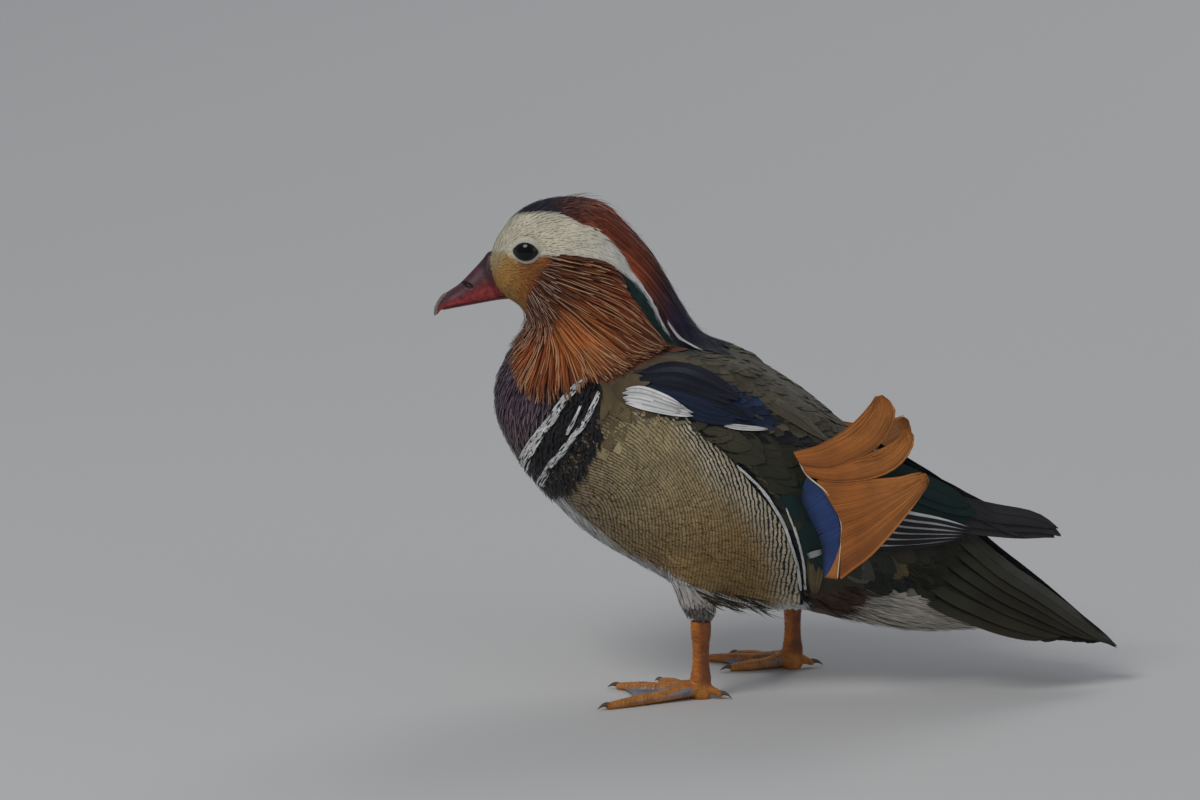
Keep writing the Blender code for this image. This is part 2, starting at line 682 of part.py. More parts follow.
def web_mesh(toes, joint, side):
    """The web between the three front toes: a thin cushion with a hollow edge from toe to toe."""
    tips = [toe_way(toe, side) * toe.length for toe in toes]
    edge = []
    for start, end in zip(tips, tips[1:]):
        for share in np.linspace(0, 1, 9)[1 if edge else 0 :]:
            reach = WEB_REACH * (1 - (1 - WEB_HOLLOW) * math.sin(math.pi * share))
            edge.append((start * (1 - share) + end * share) * reach)
    rim = np.vstack([[(0.0, 0.0)], edge]) + joint
    middle = joint + WEB_CENTRE * tips[1]
    rings = [np.column_stack([rim, np.full(len(rim), z)]) for z in WEB_RIM]
    rings[1][0, 2] = WEB_ROOT
    return loft(rings, start=(*middle, WEB_MIDDLE[0]), end=(*middle, WEB_MIDDLE[1]))


def make_foot(side_name, x, side, parts, cutters):
    """Toes, webs and the joint pad, joined into one piece with its sole on the floor."""
    joint = np.array([x, side * LEG_SIDE])
    angles = np.linspace(0, 2 * math.pi, LEG_STEPS, endpoint=False)
    rings = []
    for z, share in PAD_LEVELS:
        ring = [joint[0] + PAD_SIZE[0] * share * np.cos(angles)]
        ring += [joint[1] + PAD_SIZE[1] * share * np.sin(angles), np.full(LEG_STEPS, z)]
        rings.append(np.column_stack(ring))
    foot = mesh_object(f"foot_{side_name}", *loft(rings), parts, "leg_skin")
    toes = FRONT_TOES[side_name]
    shapes = [toe_mesh(toe, joint, side) for toe in toes]
    shapes.append(toe_mesh(HIND_TOE, joint, side, hind=True))
    shapes.append(web_mesh(toes, joint, side))
    for number, (points, faces) in enumerate(shapes):
        shape = mesh_object(f"foot_{side_name}_shape_{number}", points, faces, cutters)
        boolean(foot, as_cutter(shape), "UNION")
    return foot


def make_claws(side_name, x, side, parts):
    """A short cone at each toe's tip, bent down a little."""
    joint = np.array([x, side * LEG_SIDE])
    for toe in [*FRONT_TOES[side_name], HIND_TOE]:
        way = toe_way(toe, side)
        across = np.array([-way[1], way[0]])
        start_z = HIND_RISE - HIND_DROP if toe is HIND_TOE else CLAW_HEIGHT
        angles = np.linspace(0, 2 * math.pi, TOE_STEPS, endpoint=False)
        rings = []
        for share in CLAW_LEVELS:
            out = joint + way * (toe.length + GAP + CLAW_LENGTH * share)
            radius = CLAW_RADIUS * (1 - CLAW_TAPER * share)
            flat = out + across[None, :] * (radius * np.cos(angles))[:, None]
            z = start_z - CLAW_DROOP * share**2 + radius * np.sin(angles)
            rings.append(np.column_stack([flat, z]))
        tip = joint + way * (toe.length + GAP + CLAW_LENGTH)
        points, faces = loft(rings, end=(*tip, start_z - CLAW_TIP_DROP))
        mesh_object(f"claw_{side_name}_{toe.name}", points, faces, parts, "claw_horn")


def main():
    clear_scene()
    parts, cutters = new_collection("mandarin_duck"), new_collection("cutters")
    body_cutter, head_cutter = make_body_cutter(cutters), make_head_cutter(cutters)
    make_trunk(parts)
    make_rump(parts)
    head = make_head(parts)
    make_neck(parts, body_cutter)
    make_crest(parts, head_cutter, body_cutter)
    make_mandible("upper_bill", UPPER_BILL, BILL_TIP, True, parts, head_cutter)
    make_mandible("lower_bill", LOWER_BILL, LOWER_BILL_TIP, False, parts, head_cutter)
    make_tail(parts, body_cutter)
    make_primaries("primaries_left", LEFT_PRIMARIES, LEFT_PRIMARY_TIP, parts, [body_cutter])
    make_primaries("primaries_right", RIGHT_PRIMARIES, RIGHT_PRIMARY_TIP, parts, [body_cutter])
    for side_name, side, leg_x in (("left", -1, LEFT_LEG_X), ("right", 1, RIGHT_LEG_X)):
        make_eye(side_name, side, parts, cutters, head)
        pad_side = -side
        scapulars = (SCAPULARS_LOWER, SCAPULARS_UPPER, SCAPULARS_LIFT)
        wing = (WING_LOWER, WING_UPPER, WING_LIFT)
        pad_cutter = as_cutter(
            mesh_object(f"scapulars_cutter_{side_name}", *pad_mesh(*scapulars, pad_side, GAP), cutters)
        )
        wing_cutter = as_cutter(
            mesh_object(f"wing_cutter_{side_name}", *pad_mesh(*wing, pad_side, GAP), cutters)
        )
        make_pad(
            f"scapulars_{side_name}", scapulars, pad_side, "dark_plumage", parts,
            [body_cutter, head_cutter],
        )
        make_pad(
            f"wing_{side_name}", wing, pad_side, "dark_plumage", parts, [body_cutter, pad_cutter]
        )
        drop, out = (RIGHT_SAIL_DROP_DEG, RIGHT_SAIL_OUT) if side > 0 else (0.0, 0.0)
        make_sail(f"sail_{side_name}", side, drop, out, parts)
        make_thigh(side_name, leg_x, side * LEG_SIDE, parts, [body_cutter, wing_cutter])
        make_leg(side_name, leg_x, side * LEG_SIDE, parts)
        make_foot(side_name, leg_x, side, parts, cutters)
        make_claws(side_name, leg_x, side, parts)


main()
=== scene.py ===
# A mandarin drake at life size: one skin, its coat of feathers, bill, eyes and claws.
# The bill points to -X and the left side is -Y. Tables are in millimetres, or on the side
# drawing, whose unit is 0.45 mm and whose second number grows downwards.

import math

import bmesh
import bpy
import numpy as np
from mathutils import Matrix, Vector
from mathutils.bvhtree import BVHTree


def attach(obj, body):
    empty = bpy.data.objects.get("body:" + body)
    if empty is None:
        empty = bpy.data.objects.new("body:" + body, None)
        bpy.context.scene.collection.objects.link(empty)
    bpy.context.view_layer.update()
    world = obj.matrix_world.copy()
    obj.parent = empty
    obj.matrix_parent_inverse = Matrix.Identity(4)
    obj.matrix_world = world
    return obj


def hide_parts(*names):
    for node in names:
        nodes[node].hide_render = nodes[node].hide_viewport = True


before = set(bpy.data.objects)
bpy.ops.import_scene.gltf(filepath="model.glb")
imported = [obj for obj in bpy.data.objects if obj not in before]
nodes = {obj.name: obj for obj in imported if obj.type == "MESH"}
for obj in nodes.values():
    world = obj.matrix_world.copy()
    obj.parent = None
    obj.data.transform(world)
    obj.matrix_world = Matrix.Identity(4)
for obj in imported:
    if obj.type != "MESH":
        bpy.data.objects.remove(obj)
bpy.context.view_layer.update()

MM = 0.001
TILT = math.radians(12.5)
DRAWN_UNIT = 0.45 * MM
DRAWN_ZERO = (775.5, 683.0)
SIDES = (("left", -1), ("right", 1))

# Camera, light and floor. AIM is the place on the drawing that the camera looks at.
LENS = 480.0
SENSOR = 36.0
DISTANCE = 7.2
AIM = (600.0, 400.0)
# Each light: name, place in metres, size, power and colour
LIGHTS = [
    ("key", (-1.3, -1.5, 2.3), 1.3, 31.0, (1.0, 0.97, 0.93)),
    ("fill", (1.9, -1.9, 1.3), 1.8, 5.0, (0.95, 0.97, 1.0)),
    ("back", (0.9, 2.1, 1.9), 1.4, 12.0, (1.0, 0.98, 0.96)),
]
LIT_PLACE = Vector((-0.02, 0, 0.1))


def unit(vectors):
    return vectors / np.maximum(np.linalg.norm(vectors, axis=-1, keepdims=True), 1e-12)


def ease(low, high, values):
    """0 up to low, 1 from high on, and a smooth rise between them."""
    share = np.clip((np.asarray(values, float) - low) / (high - low), 0, 1)
    return share * share * (3 - 2 * share)


def drawn(points):
    """Places on the side drawing of points in metres. Both sides of the bird share one drawing."""
    points = np.atleast_2d(points)
    up = points[:, 2] * math.cos(TILT) - np.abs(points[:, 1]) * math.sin(TILT)
    return np.column_stack(
        [DRAWN_ZERO[0] + points[:, 0] / DRAWN_UNIT, DRAWN_ZERO[1] - up / DRAWN_UNIT]
    )


def off_drawing(places):
    """(x, rise) in mm of places on the drawing, where rise is the height as the camera sees it."""
    return ((places[..., 0] - DRAWN_ZERO[0]) * DRAWN_UNIT / MM,
            (DRAWN_ZERO[1] - places[..., 1]) * DRAWN_UNIT / MM)


def put_camera():
    data = bpy.data.cameras.new("camera")
    data.lens = LENS
    data.sensor_width = SENSOR
    data.clip_end = 60.0
    camera = bpy.data.objects.new("camera", data)
    bpy.context.scene.collection.objects.link(camera)
    right = Vector((1, 0, 0))
    look = Vector((0, math.cos(TILT), -math.sin(TILT)))
    up = Vector((0, math.sin(TILT), math.cos(TILT)))
    middle = right * (AIM[0] - DRAWN_ZERO[0]) * DRAWN_UNIT
    middle = middle + up * (DRAWN_ZERO[1] - AIM[1]) * DRAWN_UNIT
    turn = Matrix((right, up, -look)).transposed().to_4x4()
    camera.matrix_world = Matrix.Translation(middle - look * DISTANCE) @ turn
    bpy.context.scene.camera = camera


def put_light(name, place, size, power, colour):
    data = bpy.data.lights.new(name, "AREA")
    data.shape = "DISK"
    data.size = size
    data.energy = power
    data.color = colour
    light = bpy.data.objects.new(name, data)
    bpy.context.scene.collection.objects.link(light)
    light.location = place
    light.rotation_euler = (LIT_PLACE - light.location).to_track_quat("-Z", "Y").to_euler()


def put_stage():
    scene = bpy.context.scene
    scene.view_settings.view_transform = "Standard"
    world = bpy.data.worlds.new("studio")
    scene.world = world
    world.use_nodes = True
    background = world.node_tree.nodes["Background"]
    background.inputs["Color"].default_value = (0.82, 0.88, 1.0, 1.0)
    background.inputs["Strength"].default_value = 0.26
    for light in LIGHTS:
        put_light(*light)
    bpy.ops.object.select_all(action="DESELECT")
    bpy.ops.mesh.primitive_plane_add(size=30.0, location=(0, 0, 0))
    floor = bpy.context.active_object
    floor.name = "floor"
    material = bpy.data.materials.new("pale_floor")
    material.use_nodes = True
    shader = material.node_tree.nodes["Principled BSDF"]
    shader.inputs["Base Color"].default_value = (0.62, 0.62, 0.61, 1.0)
    shader.inputs["Roughness"].default_value = 0.85
    floor.data.materials.append(material)


# Colours of the plumage, as light that each gives back
COLOUR = {
    "cream": (0.74, 0.69, 0.53),
    "white": (0.80, 0.80, 0.78),
    "face": (0.58, 0.48, 0.28),
    "buff": (0.46, 0.245, 0.066),
    "cheek": (0.29, 0.105, 0.026),
    "forehead": (0.022, 0.018, 0.038),
    "crown": (0.11, 0.030, 0.020),
    "copper": (0.30, 0.060, 0.022),
    "violet": (0.028, 0.018, 0.055),
    "crest_tip": (0.010, 0.018, 0.045),
    "green": (0.006, 0.030, 0.028),
    "ruff_dark": (0.17, 0.042, 0.015),
    "ruff": (0.30, 0.070, 0.020),
    "ruff_shaft": (0.88, 0.54, 0.28),
    "breast": (0.060, 0.028, 0.050),
    "breast_low": (0.095, 0.058, 0.055),
    "black": (0.006, 0.006, 0.009),
    "flank": (0.47, 0.38, 0.21),
    "flank_low": (0.33, 0.215, 0.085),
    "flank_front": (0.27, 0.21, 0.135),
    "belly": (0.62, 0.62, 0.61),
    # The thigh's grey-white is partly darkened with painted shade
    "thigh": (0.42, 0.38, 0.34),
    "mantle_front": (0.17, 0.125, 0.065),
    "mantle": (0.080, 0.068, 0.042),
    "scapular": (0.006, 0.008, 0.020),
    # The scapulars' blue is a painted sheen on their near-black colour
    "scapular_blue_sheen": (0.009, 0.021, 0.058),
    "coverts": (0.060, 0.054, 0.029),
    "coverts_low": (0.034, 0.033, 0.019),
    "secondary": (0.006, 0.028, 0.026),
    "web_blue": (0.026, 0.062, 0.20),
    "sail": (0.46, 0.145, 0.026),
    "sail_tip": (0.54, 0.195, 0.042),
    "sail_shaft": (0.85, 0.72, 0.52),
    "primary": (0.045, 0.040, 0.042),
    "primary_edge": (0.80, 0.80, 0.80),
    "tail": (0.026, 0.026, 0.016),
    "rump": (0.014, 0.016, 0.014),
    "olive": (0.15, 0.11, 0.048),
    "undertail": (0.50, 0.46, 0.40),
    "rufous": (0.055, 0.024, 0.012),
}
COLOUR = {name: np.array(value) for name, value in COLOUR.items()}


def blend_of(first, second, share):
    """One colour to another, for each share from 0 to 1."""
    share = np.asarray(share)[..., None]
    return COLOUR[first] * (1 - share) + COLOUR[second] * share


def inside(outline, places, soft):
    """How far each place is inside a closed outline: 0 outside, 1 inside, eased over soft units."""
    corners = np.array(outline, float)
    following = np.roll(corners, -1, axis=0)
    apart = np.full(len(places), 1e9)
    odd = np.zeros(len(places), bool)
    for (x0, y0), (x1, y1) in zip(corners, following):
        dx, dy = x1 - x0, y1 - y0
        px, py = places[:, 0] - x0, places[:, 1] - y0
        share = np.clip((px * dx + py * dy) / (dx * dx + dy * dy + 1e-9), 0, 1)
        apart = np.minimum(apart, np.hypot(px - share * dx, py - share * dy))
        if dy:
            crosses = (y0 > places[:, 1]) != (y1 > places[:, 1])
            odd ^= crosses & (places[:, 0] < x0 + (places[:, 1] - y0) * dx / dy)
    return ease(-soft, soft, np.where(odd, apart, -apart))


# Zones of the coat, on the side drawing. A later zone lies over an earlier one.
# Each row: name, softness of its edge, first and second colour, where each is full, outline
ZONES = [
    ("breast", 6, "breast", "breast_low", (505, 390), (530, 485), [
        (460, 320), (520, 312), (560, 330), (612, 380), (592, 382), (572, 397), (556, 420),
        (532, 441), (526, 462), (533, 478), (541, 490), (500, 505), (460, 420)]),
    ("flank", 2.5, "flank", "flank_low", (640, 440), (690, 585), [
        (596, 430), (608, 421), (622, 415), (640, 411), (670, 412), (712, 427), (745, 448),
        (770, 480), (785, 510), (798, 540), (806, 570), (808, 592), (803, 600), (770, 602),
        (748, 601), (732, 599), (705, 590), (679, 576), (655, 563), (615, 543), (583, 514),
        (560, 493), (545, 489), (540, 478), (560, 455), (580, 425)]),
    ("patch", 2.5, "black", "black", (0, 0), (1, 0), [
        (590, 374), (601, 385), (602, 424), (595, 441), (581, 466), (567, 481), (548, 491),
        (534, 483), (521, 463), (528, 440), (546, 418), (561, 396)]),
    ("mantle", 2, "mantle_front", "mantle", (620, 392), (700, 380), [
        (600, 384), (606, 372), (640, 345), (690, 325), (735, 305), (785, 318), (842, 362),
        (892, 408), (876, 442), (833, 440), (763, 433), (703, 419), (660, 413), (640, 409),
        (626, 416), (611, 424), (600, 432), (598, 400)]),
    # The scapulars' blue is a painted sheen
    ("scapular", 3, "scapular", "scapular_blue_sheen", (690, 400), (735, 414), [
        (624, 388), (632, 376), (650, 371), (678, 368), (712, 376), (740, 390), (768, 408),
        (772, 428), (745, 427), (712, 419), (690, 409), (662, 398), (640, 391)]),
    ("band", 1.5, "black", "black", (0, 0), (1, 0), [
        (622, 404), (660, 411), (703, 418), (763, 431), (833, 437), (848, 436), (846, 443),
        (800, 447), (740, 440), (705, 430), (676, 419), (640, 411)]),
    ("coverts", 3, "coverts", "coverts_low", (720, 445), (775, 475), [
        (655, 413), (705, 425), (740, 437), (800, 445), (848, 441), (880, 462), (905, 500),
        (905, 540), (850, 575), (826, 592), (807, 592), (805, 570), (797, 540), (783, 512),
        (765, 486), (740, 461), (711, 438), (680, 422)]),
    ("green_wing", 4, "secondary", "secondary", (0, 0), (1, 0), [
        (788, 496), (800, 498), (812, 510), (824, 530), (826, 556), (806, 556), (800, 536)]),
    ("edge_bars", 1.0, "black", "black", (0, 0), (1, 0), [
        (728, 453), (741, 461), (764, 484), (783, 508), (797, 536), (806, 566), (809, 588),
        (799, 590), (794, 560), (784, 530), (766, 496), (748, 474)]),
    ("rump", 4, "rump", "rump", (0, 0), (1, 0), [
        (845, 385), (930, 415), (1000, 465), (1030, 520), (1010, 560), (930, 600), (860, 612),
        (806, 616), (806, 590), (826, 590), (850, 575), (905, 540), (905, 500), (876, 460)]),
    ("olive", 5, "olive", "olive", (0, 0), (1, 0), [
        (886, 553), (903, 553), (908, 563), (896, 573), (884, 568)]),
    ("undertail", 4, "undertail", "undertail", (0, 0), (1, 0), [
        (830, 605), (860, 592), (905, 588), (936, 603), (1004, 629), (1000, 660), (930, 670),
        (830, 660), (790, 625)]),
    ("rufous", 7, "rufous", "rufous", (0, 0), (1, 0), [
        (806, 590), (838, 578), (866, 586), (862, 604), (846, 618), (820, 612)]),
    ("tail", 3, "tail", "tail", (0, 0), (1, 0), [
        (935, 500), (975, 528), (1015, 560), (1065, 590), (1130, 640), (1130, 670), (1060, 665),
        (1003, 632), (936, 603), (905, 588), (905, 560), (915, 545)]),
    ("ruff", 2, "ruff_dark", "ruff", (575, 270), (592, 335), [
        (522, 302), (531, 272), (541, 256), (577, 259), (613, 267), (625, 286), (640, 315),
        (656, 338), (672, 350), (656, 358), (640, 366), (622, 376), (606, 384), (594, 380),
        (585, 384), (574, 388), (560, 388), (546, 384), (534, 374), (525, 362), (520, 352),
        (521, 336), (525, 318)]),
    ("face", 2, "face", "buff", (487, 262), (502, 276), [
        (470, 262), (486, 246), (494, 236), (502, 225), (520, 230), (543, 256), (536, 270),
        (527, 290), (528, 314), (515, 306), (503, 300), (480, 296)]),
    ("cheek", 5, "buff", "cheek", (508, 274), (531, 280), [
        (510, 263), (545, 257), (552, 262), (541, 272), (531, 288), (527, 304), (516, 300),
        (508, 280)]),
    ("brow", 2.5, "cream", "white", (560, 240), (650, 300), [
        (482, 246), (489, 240), (496, 231), (505, 222), (520, 215), (545, 213.5), (562, 215),
        (580, 225), (600, 231), (611, 243), (622, 255), (630, 272), (640, 283), (652, 298),
        (660, 319), (673, 343), (660, 325), (651, 308), (643, 293), (632, 282), (621, 273),
        (613, 267), (598, 262), (577, 258), (550, 256), (540, 258), (532, 263), (518, 262),
        (506, 252), (494, 254)]),
    ("crown", 1.5, "crown", "crown", (0, 0), (1, 0), [
        (470, 250), (482, 246), (489, 240), (496, 231), (505, 222), (520, 215), (545, 213.5),
        (562, 215), (580, 225), (600, 231), (611, 243), (622, 255), (630, 272), (640, 283),
        (652, 298), (660, 319), (673, 343), (685, 353), (702, 357), (716, 364), (736, 372),
        (742, 368), (724, 351), (709, 338), (702, 325), (700, 290), (650, 200), (560, 180), (500, 190)]),
    ("green", 2, "green", "green", (0, 0), (1, 0), [
        (616, 270), (632, 282), (643, 293), (651, 308), (660, 325), (673, 343), (690, 354),
        (700, 358), (684, 358), (668, 350), (655, 334), (636, 308), (625, 288)]),
]
CROWN_COLOURS = [
    (486, "forehead"), (548, "forehead"), (574, "crown"), (610, "copper"), (640, "copper"),
    (656, "crown"), (676, "violet"), (706, "crest_tip"), (740, "crest_tip"),
]
CREST_HALF = ([660.0, 685.0, 742.0], [30.0, 10.5, 4.5])  # the crest's half width in mm along the drawing
BREAST_END = -104.0  # behind this the underside is white


def crown_colour(across):
    stops = [stop for stop, _ in CROWN_COLOURS]
    table = np.array([COLOUR[name] for _, name in CROWN_COLOURS])
    return np.column_stack([np.interp(across, stops, table[:, k]) for k in range(3)])


def hidden_below(points, normals):
    """How much a point is on the underside, which the side drawing doesn't show."""
    outward = normals[:, 1] * np.sign(points[:, 1] + 1e-9)
    facing = outward * math.cos(TILT) + normals[:, 2] * math.sin(TILT)
    return ease(0.12, -0.12, facing) * (normals[:, 2] < 0.1)


def marking(points, normals):
    """(colour, zone number) of the coat at points. Zone 0 is the belly."""
    places = drawn(points)
    colour = np.tile(COLOUR["belly"], (len(points), 1))
    zone = np.zeros(len(points), int)
    for number, (name, soft, first, second, start, end, outline) in enumerate(ZONES, 1):
        share = inside(outline, places, soft)
        if name == "crown":
            limit = np.interp(places[:, 0], *CREST_HALF)
            share = share * ease(limit + 0.6, limit - 0.6, np.abs(points[:, 1]) / MM)
        near = share > 0
        way = np.array(end, float) - start
        part = ease(0, 1, ((places[near] - start) @ way) / (way @ way))
        paint = crown_colour(places[near, 0]) if name == "crown" else blend_of(first, second, part)
        colour[near] += (paint - colour[near]) * share[near, None]
        zone[share > 0.5] = number
    x, z = points[:, 0] / MM, points[:, 2] / MM
    bare = (zone == 0) & (x > 10) & ((z > 95) | ((normals[:, 2] > -0.1) & (z > 45)))
    colour[bare] = COLOUR["rump"]
    zone[bare] = zone_number("rump")
    under = hidden_below(points, normals) * ease(165 * MM, 150 * MM, points[:, 2])
    x = points[:, 0] / MM
    under_white = under * ease(BREAST_END - 8, BREAST_END + 8, x) * ease(125, 105, x)
    colour += (COLOUR["belly"] - colour) * under_white[:, None]
    zone[under_white > 0.5] = 0
    return colour, zone


def zone_number(name):
    return [row[0] for row in ZONES].index(name) + 1


def in_zone(zone, *names):
    return np.isin(zone, [zone_number(name) for name in names])


# The lie of the coat: places on the side drawing, and degrees below straight back
LIE = [
    (488, 250, -55), (496, 240, -60), (505, 228, -48), (530, 216, -18), (550, 232, -2),
    (575, 240, 12), (600, 248, 30), (625, 268, 45), (645, 295, 57), (664, 330, 62), (495, 226, -45),
    (515, 206, -33), (540, 198, -14), (567, 196, 2), (590, 203, 22), (615, 218, 38), (640, 242, 50),
    (660, 272, 58), (680, 305, 58), (700, 335, 52), (725, 358, 45), (492, 262, -12), (500, 270, 0),
    (497, 284, 22), (508, 285, 20), (513, 299, 34), (515, 240, -30), (526, 238, -8), (540, 246, 4),
    (512, 262, -8), (526, 266, 12), (545, 262, 6), (560, 270, 12), (590, 270, 12), (600, 285, 22),
    (560, 290, 30), (600, 310, 32), (640, 340, 38), (540, 290, 42), (570, 330, 50), (610, 350, 44),
    (526, 300, 60), (532, 330, 80), (550, 365, 84), (525, 375, 97), (518, 350, 105), (580, 375, 72),
    (612, 370, 52), (650, 372, 34), (497, 395, 92), (505, 370, 110), (500, 420, 72), (515, 450, 58),
    (535, 430, 78), (530, 400, 92), (545, 478, 50), (565, 440, 88), (590, 395, 95), (580, 420, 92),
    (600, 410, 76), (592, 432, 72), (578, 458, 66), (640, 380, 14), (690, 370, 22), (715, 348, 30),
    (770, 378, 30), (830, 412, 32), (650, 400, 12), (700, 410, 14), (760, 422, 14), (820, 434, 14),
    (720, 440, 22), (760, 452, 26), (790, 480, 45), (800, 520, 62), (815, 560, 80), (860, 480, 35),
    (900, 480, 32), (900, 540, 32), (940, 560, 32), (1000, 590, 30), (1080, 630, 30),
    (850, 605, 18), (930, 615, 16), (990, 630, 14), (820, 600, 38), (560, 512, 36), (600, 545, 28),
    (650, 575, 18), (700, 595, 14), (750, 612, 12), (680, 602, 74), (700, 608, 84), (790, 612, 75),
    (662, 584, 48), (690, 592, 66), (674, 594, 66), (712, 602, 84), (700, 598, 78),
]
FLANK_FAN = np.array([432.0, 540.0])
REAR_CENTRE = np.array([640.0, 600.0])
REAR_RADIUS = 162.0


def flank_way(places):
    """The way that the flank's feathers point on the drawing, and how near the rear bars are."""
    fan = unit(places - FLANK_FAN)
    out = places - REAR_CENTRE
    radius = np.hypot(*out.T) - 13 * ease(492, 436, places[:, 1])
    near = ease(REAR_RADIUS - 75, REAR_RADIUS - 12, radius)[:, None]
    return unit(fan * (1 - near) + unit(out) * near), radius


def lie(points, normals, flank):
    """The way the coat lies at points of a surface, along the surface."""
    places = drawn(points)
    if flank:
        way, _ = flank_way(places)
    else:
        table = np.array(LIE, float)
        angles = np.radians(table[:, 2])
        gap = ((places[:, None, :] - table[None, :, :2]) ** 2).sum(-1)
        weight = 1 / (gap + 40.0) ** 2
        way = unit(weight @ np.column_stack([np.cos(angles), np.sin(angles)]))
    ahead = np.column_stack([way[:, 0], np.zeros(len(points)), -way[:, 1]])
    return unit(ahead - normals * (ahead * normals).sum(-1, keepdims=True))


# Meshes
def read(collection, name, width, kind=float):
    values = np.empty(len(collection) * width, np.float32 if kind is float else np.int32)
    collection.foreach_get(name, values)
    return values.reshape(-1, width).astype(kind)


def mesh_object(name, points, faces):
    """An object of faces that all have the same number of corners."""
    points, faces = np.asarray(points, np.float32), np.asarray(faces, np.int32)
    mesh = bpy.data.meshes.new(name)
    mesh.vertices.add(len(points))
    mesh.vertices.foreach_set("co", points.ravel())
    mesh.loops.add(faces.size)
    mesh.loops.foreach_set("vertex_index", faces.ravel())
    mesh.polygons.add(len(faces))
    mesh.polygons.foreach_set("loop_start", np.arange(0, faces.size, faces.shape[1], dtype=np.int32))
    mesh.update(calc_edges=True)
    mesh.shade_smooth()
    obj = bpy.data.objects.new(name, mesh)
    bpy.context.scene.collection.objects.link(obj)
    return obj


def set_attribute(mesh, name, kind, values):
    attribute = mesh.attributes.new(name, kind, "POINT")
    field = "color" if kind == "FLOAT_COLOR" else "vector" if kind == "FLOAT_VECTOR" else "value"
    attribute.data.foreach_set(field, np.asarray(values, np.float32).ravel())


def set_tint(mesh, tint):
    set_attribute(mesh, "Tint", "FLOAT_COLOR", np.column_stack([tint, np.ones(len(tint))]))


def set_points(mesh, points):
    mesh.vertices.foreach_set("co", points.astype(np.float32).ravel())
    mesh.update()


def ring_faces(around, rows, first=0):
    """Faces between rows of points that run round a ring."""
    start = np.arange(around)
    ring = np.column_stack([start, np.roll(start, -1)])
    return np.vstack([
        np.column_stack([ring + first + row * around, ring[:, ::-1] + first + (row + 1) * around])
        for row in range(rows - 1)
    ])


def close_ends(mesh):
    """Fills a mesh's open rings and turns all its faces outwards."""
    bm = bmesh.new()
    bm.from_mesh(mesh)
    bmesh.ops.holes_fill(bm, edges=[edge for edge in bm.edges if edge.is_boundary], sides=0)
    bmesh.ops.recalc_face_normals(bm, faces=bm.faces)
    bm.to_mesh(mesh)
    bm.free()


def select_only(*objects):
    bpy.ops.object.select_all(action="DESELECT")
    for obj in objects:
        obj.select_set(True)
    bpy.context.view_layer.objects.active = objects[0]


def apply(obj, kind, **settings):
    modifier = obj.modifiers.new(kind.title(), kind)
    for key, value in settings.items():
        setattr(modifier, key, value)
    select_only(obj)
    bpy.ops.object.modifier_apply(modifier=modifier.name)


def copy_of(node, grow):
    """A merged copy of a node's solid, larger or smaller by grow millimetres all round."""
    mesh = nodes[node].data.copy()
    bm = bmesh.new()
    bm.from_mesh(mesh)
    bmesh.ops.remove_doubles(bm, verts=bm.verts, dist=1e-5)
    bm.normal_update()
    moves = [vertex.normal * grow * MM for vertex in bm.verts]
    for vertex, move in zip(bm.verts, moves):
        vertex.co += move
    bm.to_mesh(mesh)
    bm.free()
    obj = bpy.data.objects.new(f"{node}_form", mesh)
    bpy.context.scene.collection.objects.link(obj)
    return obj


def fused(name, forms, voxel, smoothing):
    select_only(*forms)
    bpy.ops.object.join()
    obj = forms[0]
    obj.name = name
    apply(obj, "REMESH", mode="VOXEL", voxel_size=voxel * MM)
    apply(obj, "SMOOTH", factor=0.5, iterations=smoothing)
    obj.data.shade_smooth()
    return obj


def drop_islands(obj):
    """Keeps the largest connected piece of a mesh."""
    bm = bmesh.new()
    bm.from_mesh(obj.data)
    left, islands = set(bm.verts), []
    while left:
        island, front = [], [left.pop()]
        while front:
            vertex = front.pop()
            island.append(vertex)
            for edge in vertex.link_edges:
                other = edge.other_vert(vertex)
                if other in left:
                    left.discard(other)
                    front.append(other)
        islands.append(island)
    spare = sorted(islands, key=len)[:-1]
    bmesh.ops.delete(bm, geom=[vertex for island in spare for vertex in island], context="VERTS")
    bm.to_mesh(obj.data)
    bm.free()


def even_normals(mesh, rounds):
    """Vertex normals, evened out over their neighbours."""
    normals = read(mesh.vertex_normals, "vector", 3)
    ends = read(mesh.edges, "vertices", 2, int)
    for _ in range(rounds):
        total = normals.copy()
        for k in range(3):
            total[:, k] += np.bincount(ends[:, 0], normals[ends[:, 1], k], len(normals))
            total[:, k] += np.bincount(ends[:, 1], normals[ends[:, 0], k], len(normals))
        normals = unit(total)
    return normals


